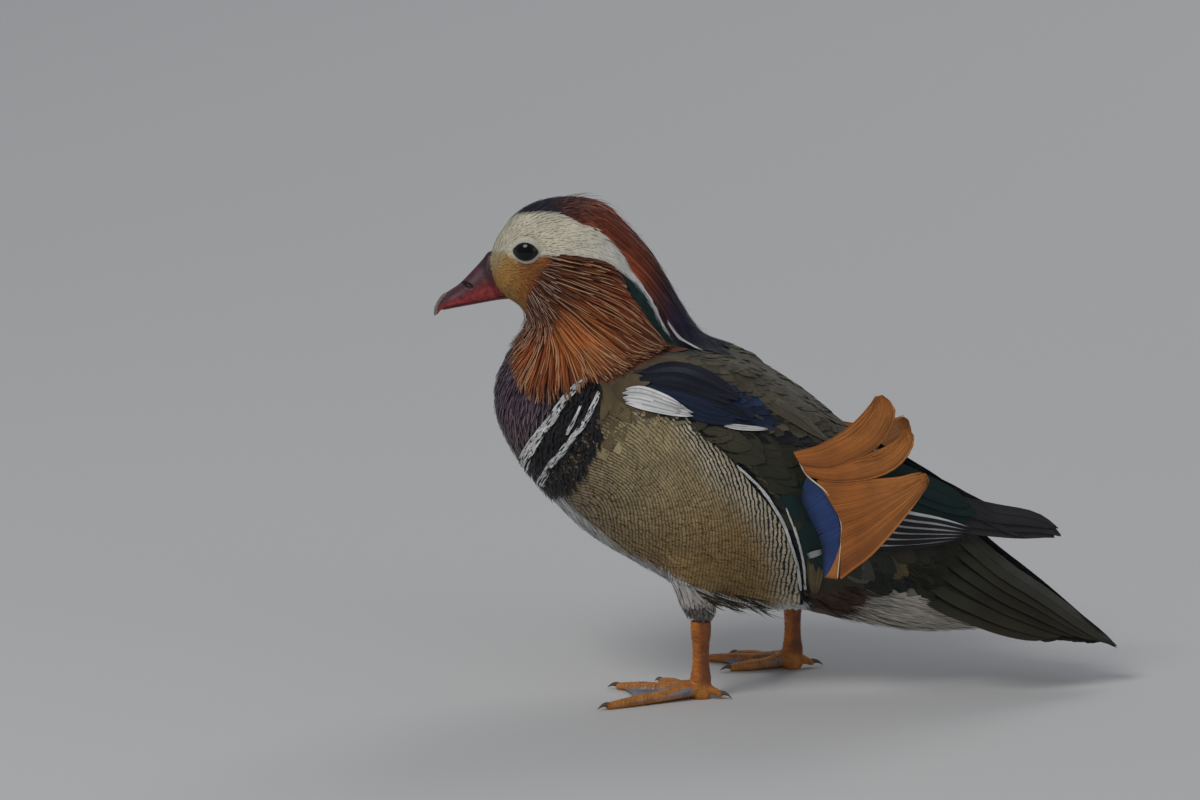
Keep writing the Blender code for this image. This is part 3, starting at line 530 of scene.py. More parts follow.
class Form:
    """A surface that feathers lie on."""

    def __init__(self, obj):
        mesh = obj.data
        mesh.calc_loop_triangles()
        self.points = read(mesh.vertices, "co", 3)
        self.triangles = read(mesh.loop_triangles, "vertices", 3, int)
        self.normals = even_normals(mesh, 3)
        corners = self.points[self.triangles]
        self.centres = corners.mean(axis=1)
        spans = np.cross(corners[:, 1] - corners[:, 0], corners[:, 2] - corners[:, 0])
        self.areas = np.linalg.norm(spans, axis=1) / 2
        self.facing = unit(self.normals[self.triangles].mean(axis=1))
        self.tree = BVHTree.FromPolygons(self.points.tolist(), self.triangles.tolist())

    def snap(self, places):
        """(nearest points, normals there, how far off) of places."""
        found = [self.tree.find_nearest(place) for place in places.tolist()]
        at = np.array([hit[0][:] for hit in found])
        index = np.array([hit[2] for hit in found])
        return at, self.facing[index], np.linalg.norm(at - places, axis=1)

    def seen_at(self, places, side):
        """Points that show at places on the side drawing, seen from one side."""
        look = Vector((0, -side * math.cos(TILT), -math.sin(TILT)))
        up = Vector((0, -side * math.sin(TILT), math.cos(TILT)))
        found, normals = [], []
        for across, down in np.atleast_2d(places):
            start = Vector(((across - DRAWN_ZERO[0]) * DRAWN_UNIT, 0, 0))
            start += up * (DRAWN_ZERO[1] - down) * DRAWN_UNIT - look * 0.4
            hit, _, index, _ = self.tree.ray_cast(start, look)
            if hit is None:
                hit, _, index, _ = self.tree.find_nearest(start + look * 0.4)
            found.append(hit[:])
            normals.append(self.facing[index])
        return np.array(found), np.array(normals)


def scatter(form, weight, spacing, seed):
    """Places spread over a form, no two nearer than their spacing, with the normals there.

    weight is 0 where none should be, and spacing is one number or one for each triangle, in mm."""
    rng = np.random.default_rng(seed)
    spacing = np.broadcast_to(np.asarray(spacing, float) * MM, form.areas.shape)
    chance = form.areas * weight / spacing**2
    count = int(chance.sum() * 4)
    pick = rng.choice(len(chance), size=count, p=chance / chance.sum())
    a, b = rng.random((2, count))
    flip = a + b > 1
    a, b = np.where(flip, 1 - a, a), np.where(flip, 1 - b, b)
    corners = form.points[form.triangles[pick]]
    places = corners[:, 0] + a[:, None] * (corners[:, 1] - corners[:, 0])
    places += b[:, None] * (corners[:, 2] - corners[:, 0])
    apart = spacing[pick]
    cell = float(spacing.max())
    keys = np.floor(places / cell).astype(int)
    grid, kept = {}, []
    for i, (kx, ky, kz) in enumerate(keys.tolist()):
        x, y, z = places[i]
        limit = apart[i] ** 2
        free = True
        for ix in (kx - 1, kx, kx + 1):
            for iy in (ky - 1, ky, ky + 1):
                for iz in (kz - 1, kz, kz + 1):
                    for px, py, pz in grid.get((ix, iy, iz), ()):
                        if (px - x) ** 2 + (py - y) ** 2 + (pz - z) ** 2 < limit:
                            free = False
                            break
                    if not free:
                        break
                if not free:
                    break
            if not free:
                break
        if free:
            grid.setdefault((kx, ky, kz), []).append((x, y, z))
            kept.append(i)
    kept = np.array(kept)
    return places[kept], form.facing[pick[kept]]


BAKE_PATCH = 0.003  # how much of the bake map each feather takes


def unwrap(points):
    """Places of points on the skin's own unwrap: the body in the lower half, the head above it."""
    x, y, z = points.T / MM
    head = z > 165
    around = np.where(head, np.arctan2(y, x + 92), np.arctan2(y, z - 100)) / (2 * math.pi) + 0.5
    along = np.where(head, 0.62 + (z - 165) / 62 * 0.34, (x + 160) / 320 * 0.56)
    return np.column_stack([0.02 + 0.94 * around, 0.02 + along])


class Coat:
    """Feathers gathered into one mesh."""

    def __init__(self):
        self.points, self.faces, self.tint, self.shaft, self.vane, self.uv = [], [], [], [], [], []
        self.count = 0

    def add(self, grid, tint, shaft, across, along, seed, roots):
        """grid is feathers x rows x columns x 3. tint and shaft are colours of the same shape."""
        n, rows, cols, _ = grid.shape
        index = np.arange(n * rows * cols).reshape(n, rows, cols) + self.count
        quads = [index[:, :-1, :-1], index[:, 1:, :-1], index[:, 1:, 1:], index[:, :-1, 1:]]
        quads = np.stack(quads, axis=-1)
        shape = (n, rows, cols)
        self.points.append(grid.reshape(-1, 3))
        self.faces.append(quads.reshape(-1, 4))
        self.tint.append(np.broadcast_to(tint, (*shape, 3)).reshape(-1, 3))
        self.shaft.append(np.broadcast_to(shaft, (*shape, 4)).reshape(-1, 4))
        vane = [np.broadcast_to(v, shape) for v in (across / MM, along / MM, seed)]
        self.vane.append(np.stack(vane, axis=-1).reshape(-1, 3))
        home = unwrap(roots)[:, None, None, :]
        patch = [
            np.broadcast_to(np.linspace(-BAKE_PATCH / 2, BAKE_PATCH / 2, cols), shape),
            np.broadcast_to(np.linspace(0, BAKE_PATCH, rows)[:, None], shape),
        ]
        self.uv.append((home + np.stack(patch, axis=-1)).reshape(-1, 2))
        self.count += n * rows * cols

    def build(self, name, material, replaced=()):
        points, faces = np.vstack(self.points), np.vstack(self.faces)
        obj = mesh_object(name, points, faces)
        mesh = obj.data
        tint = np.vstack(self.tint)
        set_tint(mesh, tint)
        set_attribute(mesh, "Shaft", "FLOAT_COLOR", np.vstack(self.shaft))
        set_attribute(mesh, "Vane", "FLOAT_VECTOR", np.vstack(self.vane))
        layer = mesh.uv_layers.new(name="OFBake")
        layer.data.foreach_set("uv", np.vstack(self.uv)[faces.ravel()].astype(np.float32).ravel())
        mesh.materials.append(material)
        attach(obj, "root")
        if replaced:
            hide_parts(*replaced)
        return obj


NO_SHAFT = np.zeros(4)
# Outlines of feathers: the share of its half width that each has, from root to tip
ROUND_VANE = [0.30, 0.80, 1.0, 0.97, 0.74, 0.18]
SOFT_VANE = [0.35, 0.85, 1.0, 0.85, 0.15]
SMALL_VANE = [0.45, 1.0, 0.85, 0.15]
HACKLE = [0.5, 0.9, 1.0, 1.0, 0.92, 0.8, 0.6, 0.38, 0.08]
STRAND = [0.5, 0.9, 1.0, 1.0, 1.0, 0.95, 0.85, 0.7, 0.5, 0.3, 0.06]
LONG_VANE = [0.25, 0.6, 0.85, 0.96, 1.0, 1.0, 1.0, 0.98, 0.93, 0.84, 0.68, 0.42, 0.08]


def walk(form, roots, normals, length, rows, wander, rng, flank):
    """Middle lines of feathers that set out from their roots and follow the lie of the coat."""
    n = len(roots)
    length = np.broadcast_to(length, n)
    way = lie(roots, normals, flank)
    angle = rng.normal(0, wander, n)[:, None]
    way = way * np.cos(angle) + np.cross(normals, way) * np.sin(angle)
    place, normal = roots.copy(), normals.copy()
    centre, up, across = (np.empty((n, rows, 3)) for _ in range(3))
    step = (length / (rows - 1))[:, None]
    for row in range(rows):
        centre[:, row], up[:, row], across[:, row] = place, normal, np.cross(normal, way)
        if row == rows - 1:
            break
        ahead = place + way * step
        at, new_normal, off = form.snap(ahead)
        hold = ease(5 * MM, 2.5 * MM, off)[:, None]
        place = ahead + (at - ahead) * hold
        normal = unit(normal + (new_normal - normal) * hold * 0.8)
        flow = lie(place, normal, flank)
        flow = flow * np.cos(angle) + np.cross(normal, flow) * np.sin(angle)
        way = way * 0.5 + flow * 0.5 * hold + way * 0.5 * (1 - hold)
        way = unit(way - normal * (way * normal).sum(-1, keepdims=True))
    return centre, up, across


def vanes(coat, lines, half_width, outline, lift, camber, cols, tint, rng, shaft=NO_SHAFT, notch=0.12,
          shade=(0.75, 0.9)):
    """Feathers along middle lines. lift is the height above the form at the root and at the tip, in mm,
    and shade is how dark the root and the edges are beside the rest: painted shade where the feathers
    before it overlap the root, and between neighbours at the edges."""
    centre, up, across = lines
    n, rows, _ = centre.shape
    half_width = np.broadcast_to(half_width, n) * MM
    outline = np.asarray(outline)
    if len(outline) != rows:
        outline = np.interp(np.linspace(0, 1, rows), np.linspace(0, 1, len(outline)), outline)
    c = np.linspace(-1, 1, cols)
    s = np.linspace(0, 1, rows)
    width = half_width[:, None, None] * outline[None, :, None] * c[None, None, :]
    root_lift, tip_lift = (np.broadcast_to(value, n)[:, None, None] for value in lift)
    height = root_lift + (tip_lift - root_lift) * s[None, :, None]
    height = height - camber * (width / MM) ** 2
    grid = centre[:, :, None, :] + across[:, :, None, :] * width[..., None]
    grid = grid + up[:, :, None, :] * (height * MM)[..., None]
    run = np.linalg.norm(np.diff(centre, axis=1), axis=2)
    along = np.concatenate([np.zeros((n, 1)), np.cumsum(run, axis=1)], axis=1)
    # A ragged tip: the end rows reach out by different amounts
    back = (rng.random((n, cols)) * notch + 0.25 * notch * c[None, :] ** 2) * run[:, -1:]
    ahead = unit(centre[:, -1] - centre[:, -2])
    grid[:, -1] -= ahead[:, None, :] * back[..., None]
    grid[:, -2] -= ahead[:, None, :] * (back * 0.5)[..., None]
    seed = rng.random(n)[:, None, None]
    if callable(tint):
        tint = tint(s[None, :, None], c[None, None, :], grid)
    else:
        tint = tint[:, None, None, :] if np.ndim(tint) == 2 else tint[:, :, None, :]
        # Painted shade: darker at the root, under the feathers that overlap it, and towards the edges
        depth = (shade[0] + (1 - shade[0]) * ease(0.0, 0.55, s))[:, None]
        depth = depth * (1 - (1 - shade[1]) * c**2)[None]
        tint = tint * depth[None, :, :, None]
    if np.ndim(shaft) == 2:
        shaft = shaft[:, None, None, :]
    coat.add(grid, tint, shaft, width, along[:, :, None], seed, centre[:, 0])


# Materials
def node_graph(name):
    material = bpy.data.materials.new(name)
    material.use_nodes = True
    tree = material.node_tree
    return material, tree, tree.nodes["Principled BSDF"]


def value_of(tree, socket, value):
    if hasattr(value, "links"):
        tree.links.new(value, socket)
    else:
        socket.default_value = value


def math_node(tree, operation, first, second=0.0, third=None):
    node = tree.nodes.new("ShaderNodeMath")
    node.operation = operation
    value_of(tree, node.inputs[0], first)
    value_of(tree, node.inputs[1], second)
    if third is not None:
        value_of(tree, node.inputs[2], third)
    return node.outputs[0]


def times(tree, first, second):
    return math_node(tree, "MULTIPLY", first, second)


def plus(tree, first, second):
    return math_node(tree, "ADD", first, second)


def minus(tree, first, second):
    return math_node(tree, "SUBTRACT", first, second)


def range_node(tree, value, low, high, to_low=0.0, to_high=1.0):
    """A smooth change from to_low to to_high as the value goes from low to high."""
    node = tree.nodes.new("ShaderNodeMapRange")
    node.interpolation_type = "SMOOTHSTEP"
    for number, item in enumerate((value, low, high, to_low, to_high)):
        value_of(tree, node.inputs[number], item)
    return node.outputs[0]


def mix_node(tree, share, first, second, how="MIX"):
    node = tree.nodes.new("ShaderNodeMix")
    node.data_type = "RGBA"
    node.blend_type = how
    value_of(tree, node.inputs["Factor"], share)
    for key, item in ((6, first), (7, second)):
        value_of(tree, node.inputs[key], (*item, 1.0) if isinstance(item, tuple) else item)
    return node.outputs[2]


def shaded(tree, colour, shade):
    """A colour times a plain number."""
    grey = tree.nodes.new("ShaderNodeCombineXYZ")
    for socket in grey.inputs:
        tree.links.new(shade, socket)
    return mix_node(tree, 1.0, colour, grey.outputs[0], "MULTIPLY")


def attribute_node(tree, name):
    node = tree.nodes.new("ShaderNodeAttribute")
    node.attribute_name = name
    return node


def split_node(tree, vector):
    node = tree.nodes.new("ShaderNodeSeparateXYZ")
    tree.links.new(vector, node.inputs[0])
    return node.outputs


def noise_node(tree, vector, scale, detail=3.0, roughness=0.55):
    node = tree.nodes.new("ShaderNodeTexNoise")
    tree.links.new(vector, node.inputs["Vector"])
    node.inputs["Scale"].default_value = scale
    node.inputs["Detail"].default_value = detail
    node.inputs["Roughness"].default_value = roughness
    return node.outputs["Fac"]


def bump_node(tree, height, distance, strength):
    node = tree.nodes.new("ShaderNodeBump")
    node.inputs["Strength"].default_value = strength
    node.inputs["Distance"].default_value = distance
    tree.links.new(height, node.inputs["Height"])
    return node.outputs[0]


def object_place(tree):
    return tree.nodes.new("ShaderNodeTexCoord").outputs["Object"]


def barb_height(tree, across, along, seed, period, slant):
    """Fine barbs that leave the shaft at a slant: 0 in the gaps and 1 on the barbs."""
    wobble = noise_node(tree, object_place(tree), 260.0, 2.0)
    reach = times(tree, math_node(tree, "ABSOLUTE", across), slant)
    run = minus(tree, along, reach)
    run = plus(tree, run, times(tree, wobble, 0.9))
    run = plus(tree, run, times(tree, seed, 7.0))
    wave = math_node(tree, "SINE", times(tree, run, 2 * math.pi / period))
    return math_node(tree, "MULTIPLY_ADD", wave, 0.5, 0.5)


def feather_finish(name, roughness, barb, sheen, period=0.5, slant=1.3, vary=0.22,
                   shaft_width=0.22, bump=0.00012, gloss=0.25, vermiculated=False):
    """The finish of one kind of feather, from the colours and vane places that its mesh carries."""
    material, tree, shader = node_graph(name)
    tint = attribute_node(tree, "Tint").outputs["Color"]
    shaft = attribute_node(tree, "Shaft")
    across, along, seed = split_node(tree, attribute_node(tree, "Vane").outputs["Vector"])
    height = barb_height(tree, across, along, seed, period, slant)
    colour = vermiculation(tree, tint) if vermiculated else tint
    shade = range_node(tree, height, 0.0, 1.0, 1 - barb, 1 + barb * 0.6)
    each = range_node(tree, seed, 0.0, 1.0, 1 - vary, 1 + vary)
    shade = times(tree, shade, each)
    patchy = noise_node(tree, object_place(tree), 90.0)
    shade = times(tree, shade, range_node(tree, patchy, 0.25, 0.75, 0.84, 1.16))
    colour = shaded(tree, colour, shade)
    off = math_node(tree, "ABSOLUTE", across)
    line = range_node(tree, off, shaft_width * 0.6, shaft_width * 1.25, 1.0, 0.0)
    line = times(tree, line, shaft.outputs["Alpha"])
    colour = mix_node(tree, line, colour, shaft.outputs["Color"])
    tree.links.new(colour, shader.inputs["Base Color"])
    relief = plus(tree, height, times(tree, line, 1.5))
    tree.links.new(bump_node(tree, relief, bump, 0.7), shader.inputs["Normal"])
    rough = range_node(tree, height, 0.0, 1.0, min(roughness + 0.12, 1.0), roughness)
    tree.links.new(rough, shader.inputs["Roughness"])
    shader.inputs["Specular IOR Level"].default_value = gloss
    shader.inputs["Sheen Weight"].default_value = sheen
    shader.inputs["Sheen Roughness"].default_value = 0.45
    return material


def vermiculation(tree, tint):
    """Fine dark wavy lines across the flank, growing bold towards the black and white rear bars."""
    phase, radius, contrast = split_node(tree, attribute_node(tree, "Flow").outputs["Vector"])
    place = object_place(tree)
    broad = minus(tree, noise_node(tree, place, 220.0, 2.0), 0.5)
    fine = minus(tree, noise_node(tree, place, 900.0, 2.0), 0.5)
    warp = plus(tree, times(tree, broad, 1.3), times(tree, fine, 0.5))
    turns = plus(tree, phase, warp)
    wave = math_node(tree, "SINE", times(tree, turns, 2 * math.pi))
    wave = plus(tree, wave, times(tree, fine, 1.2))
    dark = range_node(tree, wave, -0.15, 0.55)
    bold = range_node(tree, radius, REAR_RADIUS - 42, REAR_RADIUS - 8)
    strength = times(tree, contrast, math_node(tree, "MULTIPLY_ADD", bold, 0.34, 0.66))
    lines = times(tree, dark, math_node(tree, "MINIMUM", strength, 0.97))
    pale = mix_node(tree, times(tree, bold, 0.75), tint, (0.66, 0.60, 0.46))
    ink = mix_node(tree, bold, (0.075, 0.045, 0.018), (0.008, 0.008, 0.009))
    body = mix_node(tree, lines, pale, ink)
    edge = range_node(tree, radius, REAR_RADIUS - 3.5, REAR_RADIUS - 2.5)
    return mix_node(tree, edge, body, (0.006, 0.006, 0.007))


def down_finish():
    """The skin under the coat: soft down in the markings' colours."""
    material, tree, shader = node_graph("down")
    place = object_place(tree)
    tint = attribute_node(tree, "Tint").outputs["Color"]
    tufts = noise_node(tree, place, 700.0, 4.0)
    shade = range_node(tree, tufts, 0.25, 0.75, 0.78, 1.0)
    tree.links.new(shaded(tree, tint, shade), shader.inputs["Base Color"])
    tree.links.new(bump_node(tree, tufts, 0.0004, 0.6), shader.inputs["Normal"])
    shader.inputs["Roughness"].default_value = 0.85
    shader.inputs["Sheen Weight"].default_value = 0.2
    return material


def leg_finish():
    """Scaly skin on the legs and toes, and wrinkled skin on the webs."""
    material, tree, shader = node_graph("scaled_skin")
    place = object_place(tree)
    tint = attribute_node(tree, "Tint").outputs["Color"]
    cells = tree.nodes.new("ShaderNodeTexVoronoi")
    cells.feature = "DISTANCE_TO_EDGE"
    cells.inputs["Scale"].default_value = 900.0
    tree.links.new(place, cells.inputs["Vector"])
    edge = range_node(tree, cells.outputs["Distance"], 0.02, 0.16)
    dirt = noise_node(tree, place, 160.0, 5.0)
    shade = times(tree, range_node(tree, edge, 0.0, 1.0, 0.72, 1.04),
                  range_node(tree, dirt, 0.3, 0.7, 0.58, 1.12))
    tree.links.new(shaded(tree, tint, shade), shader.inputs["Base Color"])
    tree.links.new(bump_node(tree, edge, 0.00012, 0.7), shader.inputs["Normal"])
    rough = range_node(tree, dirt, 0.3, 0.7, 0.26, 0.46)
    tree.links.new(rough, shader.inputs["Roughness"])
    shader.inputs["Specular IOR Level"].default_value = 0.5
    shader.inputs["Subsurface Weight"].default_value = 0.06
    shader.inputs["Subsurface Radius"].default_value = (0.004, 0.0015, 0.0006)
    return material


# The legs: where each stands, and its toes' bearings from straight ahead and lengths
LEG_PLACES = {"left": (-33.8, -29.0), "right": (8.0, 29.0)}
TOES = {
    "left": [("outer", 47.5, 27.6), ("middle", 41.0, -24.0), ("inner", 32.0, -56.0), ("hind", 9.5, 168.0)],
    "right": [("outer", 33.0, 40.0), ("middle", 41.0, 19.0), ("inner", 29.0, -13.0), ("hind", 9.5, 168.0)],
}
SCUTE_PITCH, SHANK_PITCH = 1.9, 2.3
LEG_ORANGE = np.array([0.62, 0.185, 0.016])
LEG_SHADE = np.array([0.30, 0.080, 0.014])
TOE_YELLOW = np.array([0.62, 0.23, 0.035])
WEB_GREY = np.array([0.30, 0.32, 0.37])


def toe_ways(side_name):
    side = -1 if side_name == "left" else 1
    for name, length, bearing in TOES[side_name]:
        angle = math.radians(bearing)
        yield name, length, np.array([-math.cos(angle), side * math.sin(angle)])


def shape_legs(obj):
    """Scutes on the fine skin of the legs and toes, and the colours of toes, webs and shanks."""
    mesh = obj.data
    normals = even_normals(mesh, 2)
    points = read(mesh.vertices, "co", 3)
    at = points / MM
    tint = np.tile(WEB_GREY, (len(at), 1))
    rise = np.full(len(at), -0.35)
    for side_name, side in SIDES:
        x, y = LEG_PLACES[side_name]
        mine = at[:, 1] * side > 0
        flat = at[:, :2] - (x, y)
        off_toe = np.full(len(at), 99.0)
        along_toe = np.zeros(len(at))
        for _, length, way in toe_ways(side_name):
            along = np.clip(flat @ way, 0, length)
            off = np.hypot(*(flat - along[:, None] * way).T)
            along_toe = np.where(off < off_toe, along, along_toe)
            off_toe = np.minimum(off_toe, off)
        toe = ease(3.4, 2.3, off_toe) * mine
        tint += (TOE_YELLOW - tint) * toe[:, None]
        # Scutes over the toes, and wrinkles in the webs
        ridge = 0.5 + 0.5 * np.cos(2 * math.pi * along_toe / SCUTE_PITCH)
        rise += toe * 0.16 * ridge * (at[:, 2] > 1.0) * (at[:, 2] < 12)
        crease = ease(1.1, 0.2, np.abs(np.sin(0.55 * flat[:, 0] + 0.8 * flat[:, 1]))) * (1 - toe)
        rise += mine * crease * 0.10 * (at[:, 2] < 4)
        heel = ease(8.0, 5.5, np.hypot(*flat.T)) * mine
        tint += (TOE_YELLOW - tint) * heel[:, None]
        # Rows of scutes up the front of the shank
        shank = ease(5, 9, at[:, 2]) * (np.hypot(*flat.T) < 9) * mine
        turn = np.arctan2(flat[:, 1], -flat[:, 0])
        front = ease(1.9, 0.9, np.abs(turn))
        level = 0.5 + 0.5 * np.cos(2 * math.pi * (at[:, 2] + 0.4 * np.abs(turn)) / SHANK_PITCH)
        rise += shank * 0.20 * level * (0.35 + 0.65 * front)
        # Painted shade: the back and sides of each shank take the darker LEG_SHADE colour, the front the
        # bright orange
        orange = LEG_ORANGE * front[:, None] + LEG_SHADE * (1 - front[:, None])
        tint += (orange - tint) * shank[:, None]
    points = points + normals * (rise * MM)[:, None]
    points[:, 2] = np.maximum(points[:, 2], 0.0)
    set_points(mesh, points)
    set_tint(mesh, tint)
    mesh.materials.clear()
    mesh.materials.append(leg_finish())


def coat_depth(points):
    """How far the skin lies under the solids' surface, in mm."""
    x, _, z = points.T / MM
    depth = 1.2 + 0.95 * ease(176, 158, z)
    # Thin beside the bill
    depth -= 0.6 * ease(-118, -125, x) * ease(170, 176, z) * ease(199, 194, z)
    # Deep under the belly, and close at the ends of the thighs
    depth += 0.9 * ease(75, 60, z) * ease(50, 30, x) - 2.0 * ease(50, 38, z) * ease(50, 30, x)
    # Close at the end of the crest, and even at the tail
    depth -= (depth - 0.5) * ease(-55, -30, x) * ease(144, 149, z)
    return depth + (1.3 - depth) * ease(105, 135, x)


def make_skin():
    """One skin from breast to toes. The coat is laid on its feathered part, which is returned too."""
    names = ["trunk", "rump", "head", "neck", "thigh_left", "thigh_right"]
    forms = [copy_of(name, 0.35) for name in names]
    forms.append(copy_of("crest", -1.0))
    forms.append(copy_of("tail", -0.7))
    for side_name, _ in SIDES:
        forms += [copy_of(f"scapulars_{side_name}", -0.2), copy_of(f"wing_{side_name}", -0.2)]
    skin = fused("skin", forms, 1.35, 5)
    drop_islands(skin)
    mesh = skin.data
    points = read(mesh.vertices, "co", 3)
    points -= even_normals(mesh, 8) * (coat_depth(points) * MM)[:, None]
    set_points(mesh, points)
    mesh.materials.clear()
    mesh.materials.append(down_finish())
    form = Form(skin)
    colour, _ = marking(form.points, form.normals)
    # Painted shade: the skin is darker than the markings over it, most on the body and less on the head, as
    # shade under the coat
    colour *= 0.6 + 0.3 * ease(176 * MM, 186 * MM, form.points[:, 2])[:, None]
    set_tint(mesh, colour)
    return skin, form


def finish_skin(skin, lids):
    bare = [copy_of(f"{part}_{name}", 0.35) for name, _ in SIDES for part in ("leg", "foot")]
    legs = fused("legs", bare, 0.55, 2)
    shape_legs(legs)
    select_only(skin, legs, *lids)
    bpy.ops.object.join()
    skin.data.shade_smooth()
    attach(skin, "root")
    flesh = ["trunk", "rump", "head", "neck"]
    flesh += [f"{part}_{name}" for name, _ in SIDES for part in ("thigh", "leg", "foot")]
    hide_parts(*flesh)


# The flank's fine lines: a field whose whole numbers lie along them
FIELD_STEP = 4.0
FIELD_X = np.arange(516.0, 840.0, FIELD_STEP)
FIELD_Y = np.arange(366.0, 634.0, FIELD_STEP)
LINE_PITCH = 2.9
BOLD_PITCH = 4.4
FIELD_ROUNDS = 3000


def flank_field():
    """The field on a grid, evened out until its steps follow the feathers' way and the lines' pitch."""
    across, down = np.meshgrid(FIELD_X, FIELD_Y)
    places = np.column_stack([across.ravel(), down.ravel()])
    way, radius = flank_way(places)
    pitch = LINE_PITCH + (BOLD_PITCH - LINE_PITCH) * ease(REAR_RADIUS - 45, REAR_RADIUS - 8, radius)
    want = (way / pitch[:, None]).reshape(*across.shape, 2) * FIELD_STEP
    step_x = (want[:, 1:, 0] + want[:, :-1, 0]) / 2
    step_y = (want[1:, :, 1] + want[:-1, :, 1]) / 2
    field = (np.hypot(*(places - FLANK_FAN).T) / LINE_PITCH).reshape(across.shape)
    count = np.zeros_like(field)
    count[:, 1:] += 1
    count[:, :-1] += 1
    count[1:] += 1
    count[:-1] += 1
    for _ in range(FIELD_ROUNDS):
        total = np.zeros_like(field)
        total[:, 1:] += field[:, :-1] + step_x
        total[:, :-1] += field[:, 1:] - step_x
        total[1:] += field[:-1] + step_y
        total[:-1] += field[1:] - step_y
        field = total / count
    return field


def read_field(field, places):
    """The field at places on the drawing."""
    x = np.clip((places[:, 0] - FIELD_X[0]) / FIELD_STEP, 0, len(FIELD_X) - 1.001)
    y = np.clip((places[:, 1] - FIELD_Y[0]) / FIELD_STEP, 0, len(FIELD_Y) - 1.001)
    i, j = x.astype(int), y.astype(int)
    a, b = x - i, y - j
    return (
        field[j, i] * (1 - a) * (1 - b) + field[j, i + 1] * a * (1 - b)
        + field[j + 1, i] * (1 - a) * b + field[j + 1, i + 1] * a * b
    )


def tint_along(lines, share, rng, vary):
    """The marking's colour at a share of each feather's length, a little changed from one to the next."""
    centre, up, _ = lines
    row = int(round(share * (centre.shape[1] - 1)))
    colour, _ = marking(centre[:, row], up[:, row])
    return colour * (1 + vary * rng.normal(0, 1, (len(colour), 1))).clip(0.4, 1.8)


def cut_short(lines, within, rng):
    """(middle lines that end inside an outline on the drawing, which of them are kept)."""
    n, rows, _ = lines[0].shape
    held = inside(within, drawn(lines[0].reshape(-1, 3)), 1.0).reshape(n, rows) > 0.5
    run = np.cumprod(held, axis=1).sum(axis=1)
    kept = run > 0.4 * rows
    count = int(kept.sum())
    short = np.where(run[kept] < rows, rng.uniform(0.86, 1.0, count), 1.0)
    at = ((run[kept] - 1) / (rows - 1) * short)[:, None] * np.arange(rows)
    low = at.astype(int).clip(0, rows - 2)
    part = (at - low)[..., None]
    pick = np.arange(count)[:, None]
    lines = [line[kept] for line in lines]
    lines = [line[pick, low] * (1 - part) + line[pick, low + 1] * part for line in lines]
    return [lines[0], unit(lines[1]), unit(lines[2])], kept


def grow(coat, form, weight, spacing, length, half_width, outline, lift, seed, *, wander, cols=3,
         camber=0.012, share=0.6, vary=0.12, shaft=NO_SHAFT, flank=False, notch=0.14, shade=(0.75, 0.9),
         recolour=None, root_lift=(0.05, 0.2), within=None):
    """Scattered feathers of one kind. spacing, length, half_width and lift are in mm, wander is how far the
    feathers turn from the coat's lie in radians, and within is an outline that they don't grow past."""
    rng = np.random.default_rng(seed)
    roots, normals = scatter(form, weight, spacing, seed)
    n = len(roots)
    places = drawn(roots)
    length = length(places) if callable(length) else length
    length = np.broadcast_to(length, n) * MM * rng.normal(1, 0.1, n).clip(0.75, 1.25)
    half_width = half_width(places) if callable(half_width) else half_width
    half_width = np.broadcast_to(half_width, n) * rng.normal(1, 0.12, n).clip(0.7, 1.3)
    lines = walk(form, roots, normals, length, len(outline), wander, rng, flank)
    if within is not None:
        lines, kept = cut_short(lines, within, rng)
        half_width, places, n = half_width[kept], places[kept], int(kept.sum())
    tint = tint_along(lines, share, rng, vary)
    if recolour is not None:
        tint = recolour(tint, lines, rng)
    shaft_colour = shaft(tint, places, rng) if callable(shaft) else shaft
    root_lift = rng.uniform(*root_lift, n)
    tip_lift = lift * rng.uniform(0.75, 1.25, n)
    vanes(coat, lines, half_width, outline, (root_lift, tip_lift), camber, cols, tint, rng,
          shaft_colour, notch, shade=shade)


def traced(form, paths, side):
    """Middle lines of feathers drawn as paths on the side drawing: feathers x stations x 2."""
    n, k, _ = paths.shape
    centre, up = (found.reshape(n, k, 3) for found in form.seen_at(paths.reshape(-1, 2), side))
    for _ in range(2):
        centre[:, 1:-1] = (centre[:, :-2] + 2 * centre[:, 1:-1] + centre[:, 2:]) / 4
        up[:, 1:-1] = unit(up[:, :-2] + 2 * up[:, 1:-1] + up[:, 2:])
    return line_frame(centre, up)


def line_frame(centre, up):
    way = unit(np.gradient(centre, axis=1))
    across = unit(np.cross(up, way))
    return centre, unit(np.cross(way, across)), across


def smooth_line(points, count):
    """count places along a smooth curve through points, evenly by length."""
    points = np.array(points, float)
    padded = np.vstack([2 * points[0] - points[1], points, 2 * points[-1] - points[-2]])
    fine = []
    for a, b, c, d in zip(padded, padded[1:], padded[2:], padded[3:]):
        t = np.linspace(0, 1, 12, endpoint=False)[:, None]
        fine.append(b + 0.5 * t * (c - a + t * (2 * a - 5 * b + 4 * c - d + t * (3 * (b - c) + d - a))))
    fine = np.vstack([*fine, points[-1:]])
    run = np.concatenate([[0], np.cumsum(np.linalg.norm(np.diff(fine, axis=0), axis=1))])
    at = np.linspace(0, run[-1], count)
    return np.column_stack([np.interp(at, run, fine[:, k]) for k in range(fine.shape[1])])


def part_way(line, shares):
    """Places at shares of the way along a line of evenly spaced stations."""
    at = shares * (len(line) - 1)
    return np.stack([np.interp(at, np.arange(len(line)), line[:, k]) for k in (0, 1)], axis=-1)


def fan_paths(upper, lower, shares, count, start=None, end=None):
    """Paths between two drawn lines, each cut to its own start and end share."""
    high, low = smooth_line(upper, 40), smooth_line(lower, 40)
    start = np.zeros(len(shares)) if start is None else start
    end = np.ones(len(shares)) if end is None else end
    return np.array([
        part_way(high + (low - high) * share, np.linspace(first, last, count))
        for share, first, last in zip(shares, start, end)
    ])


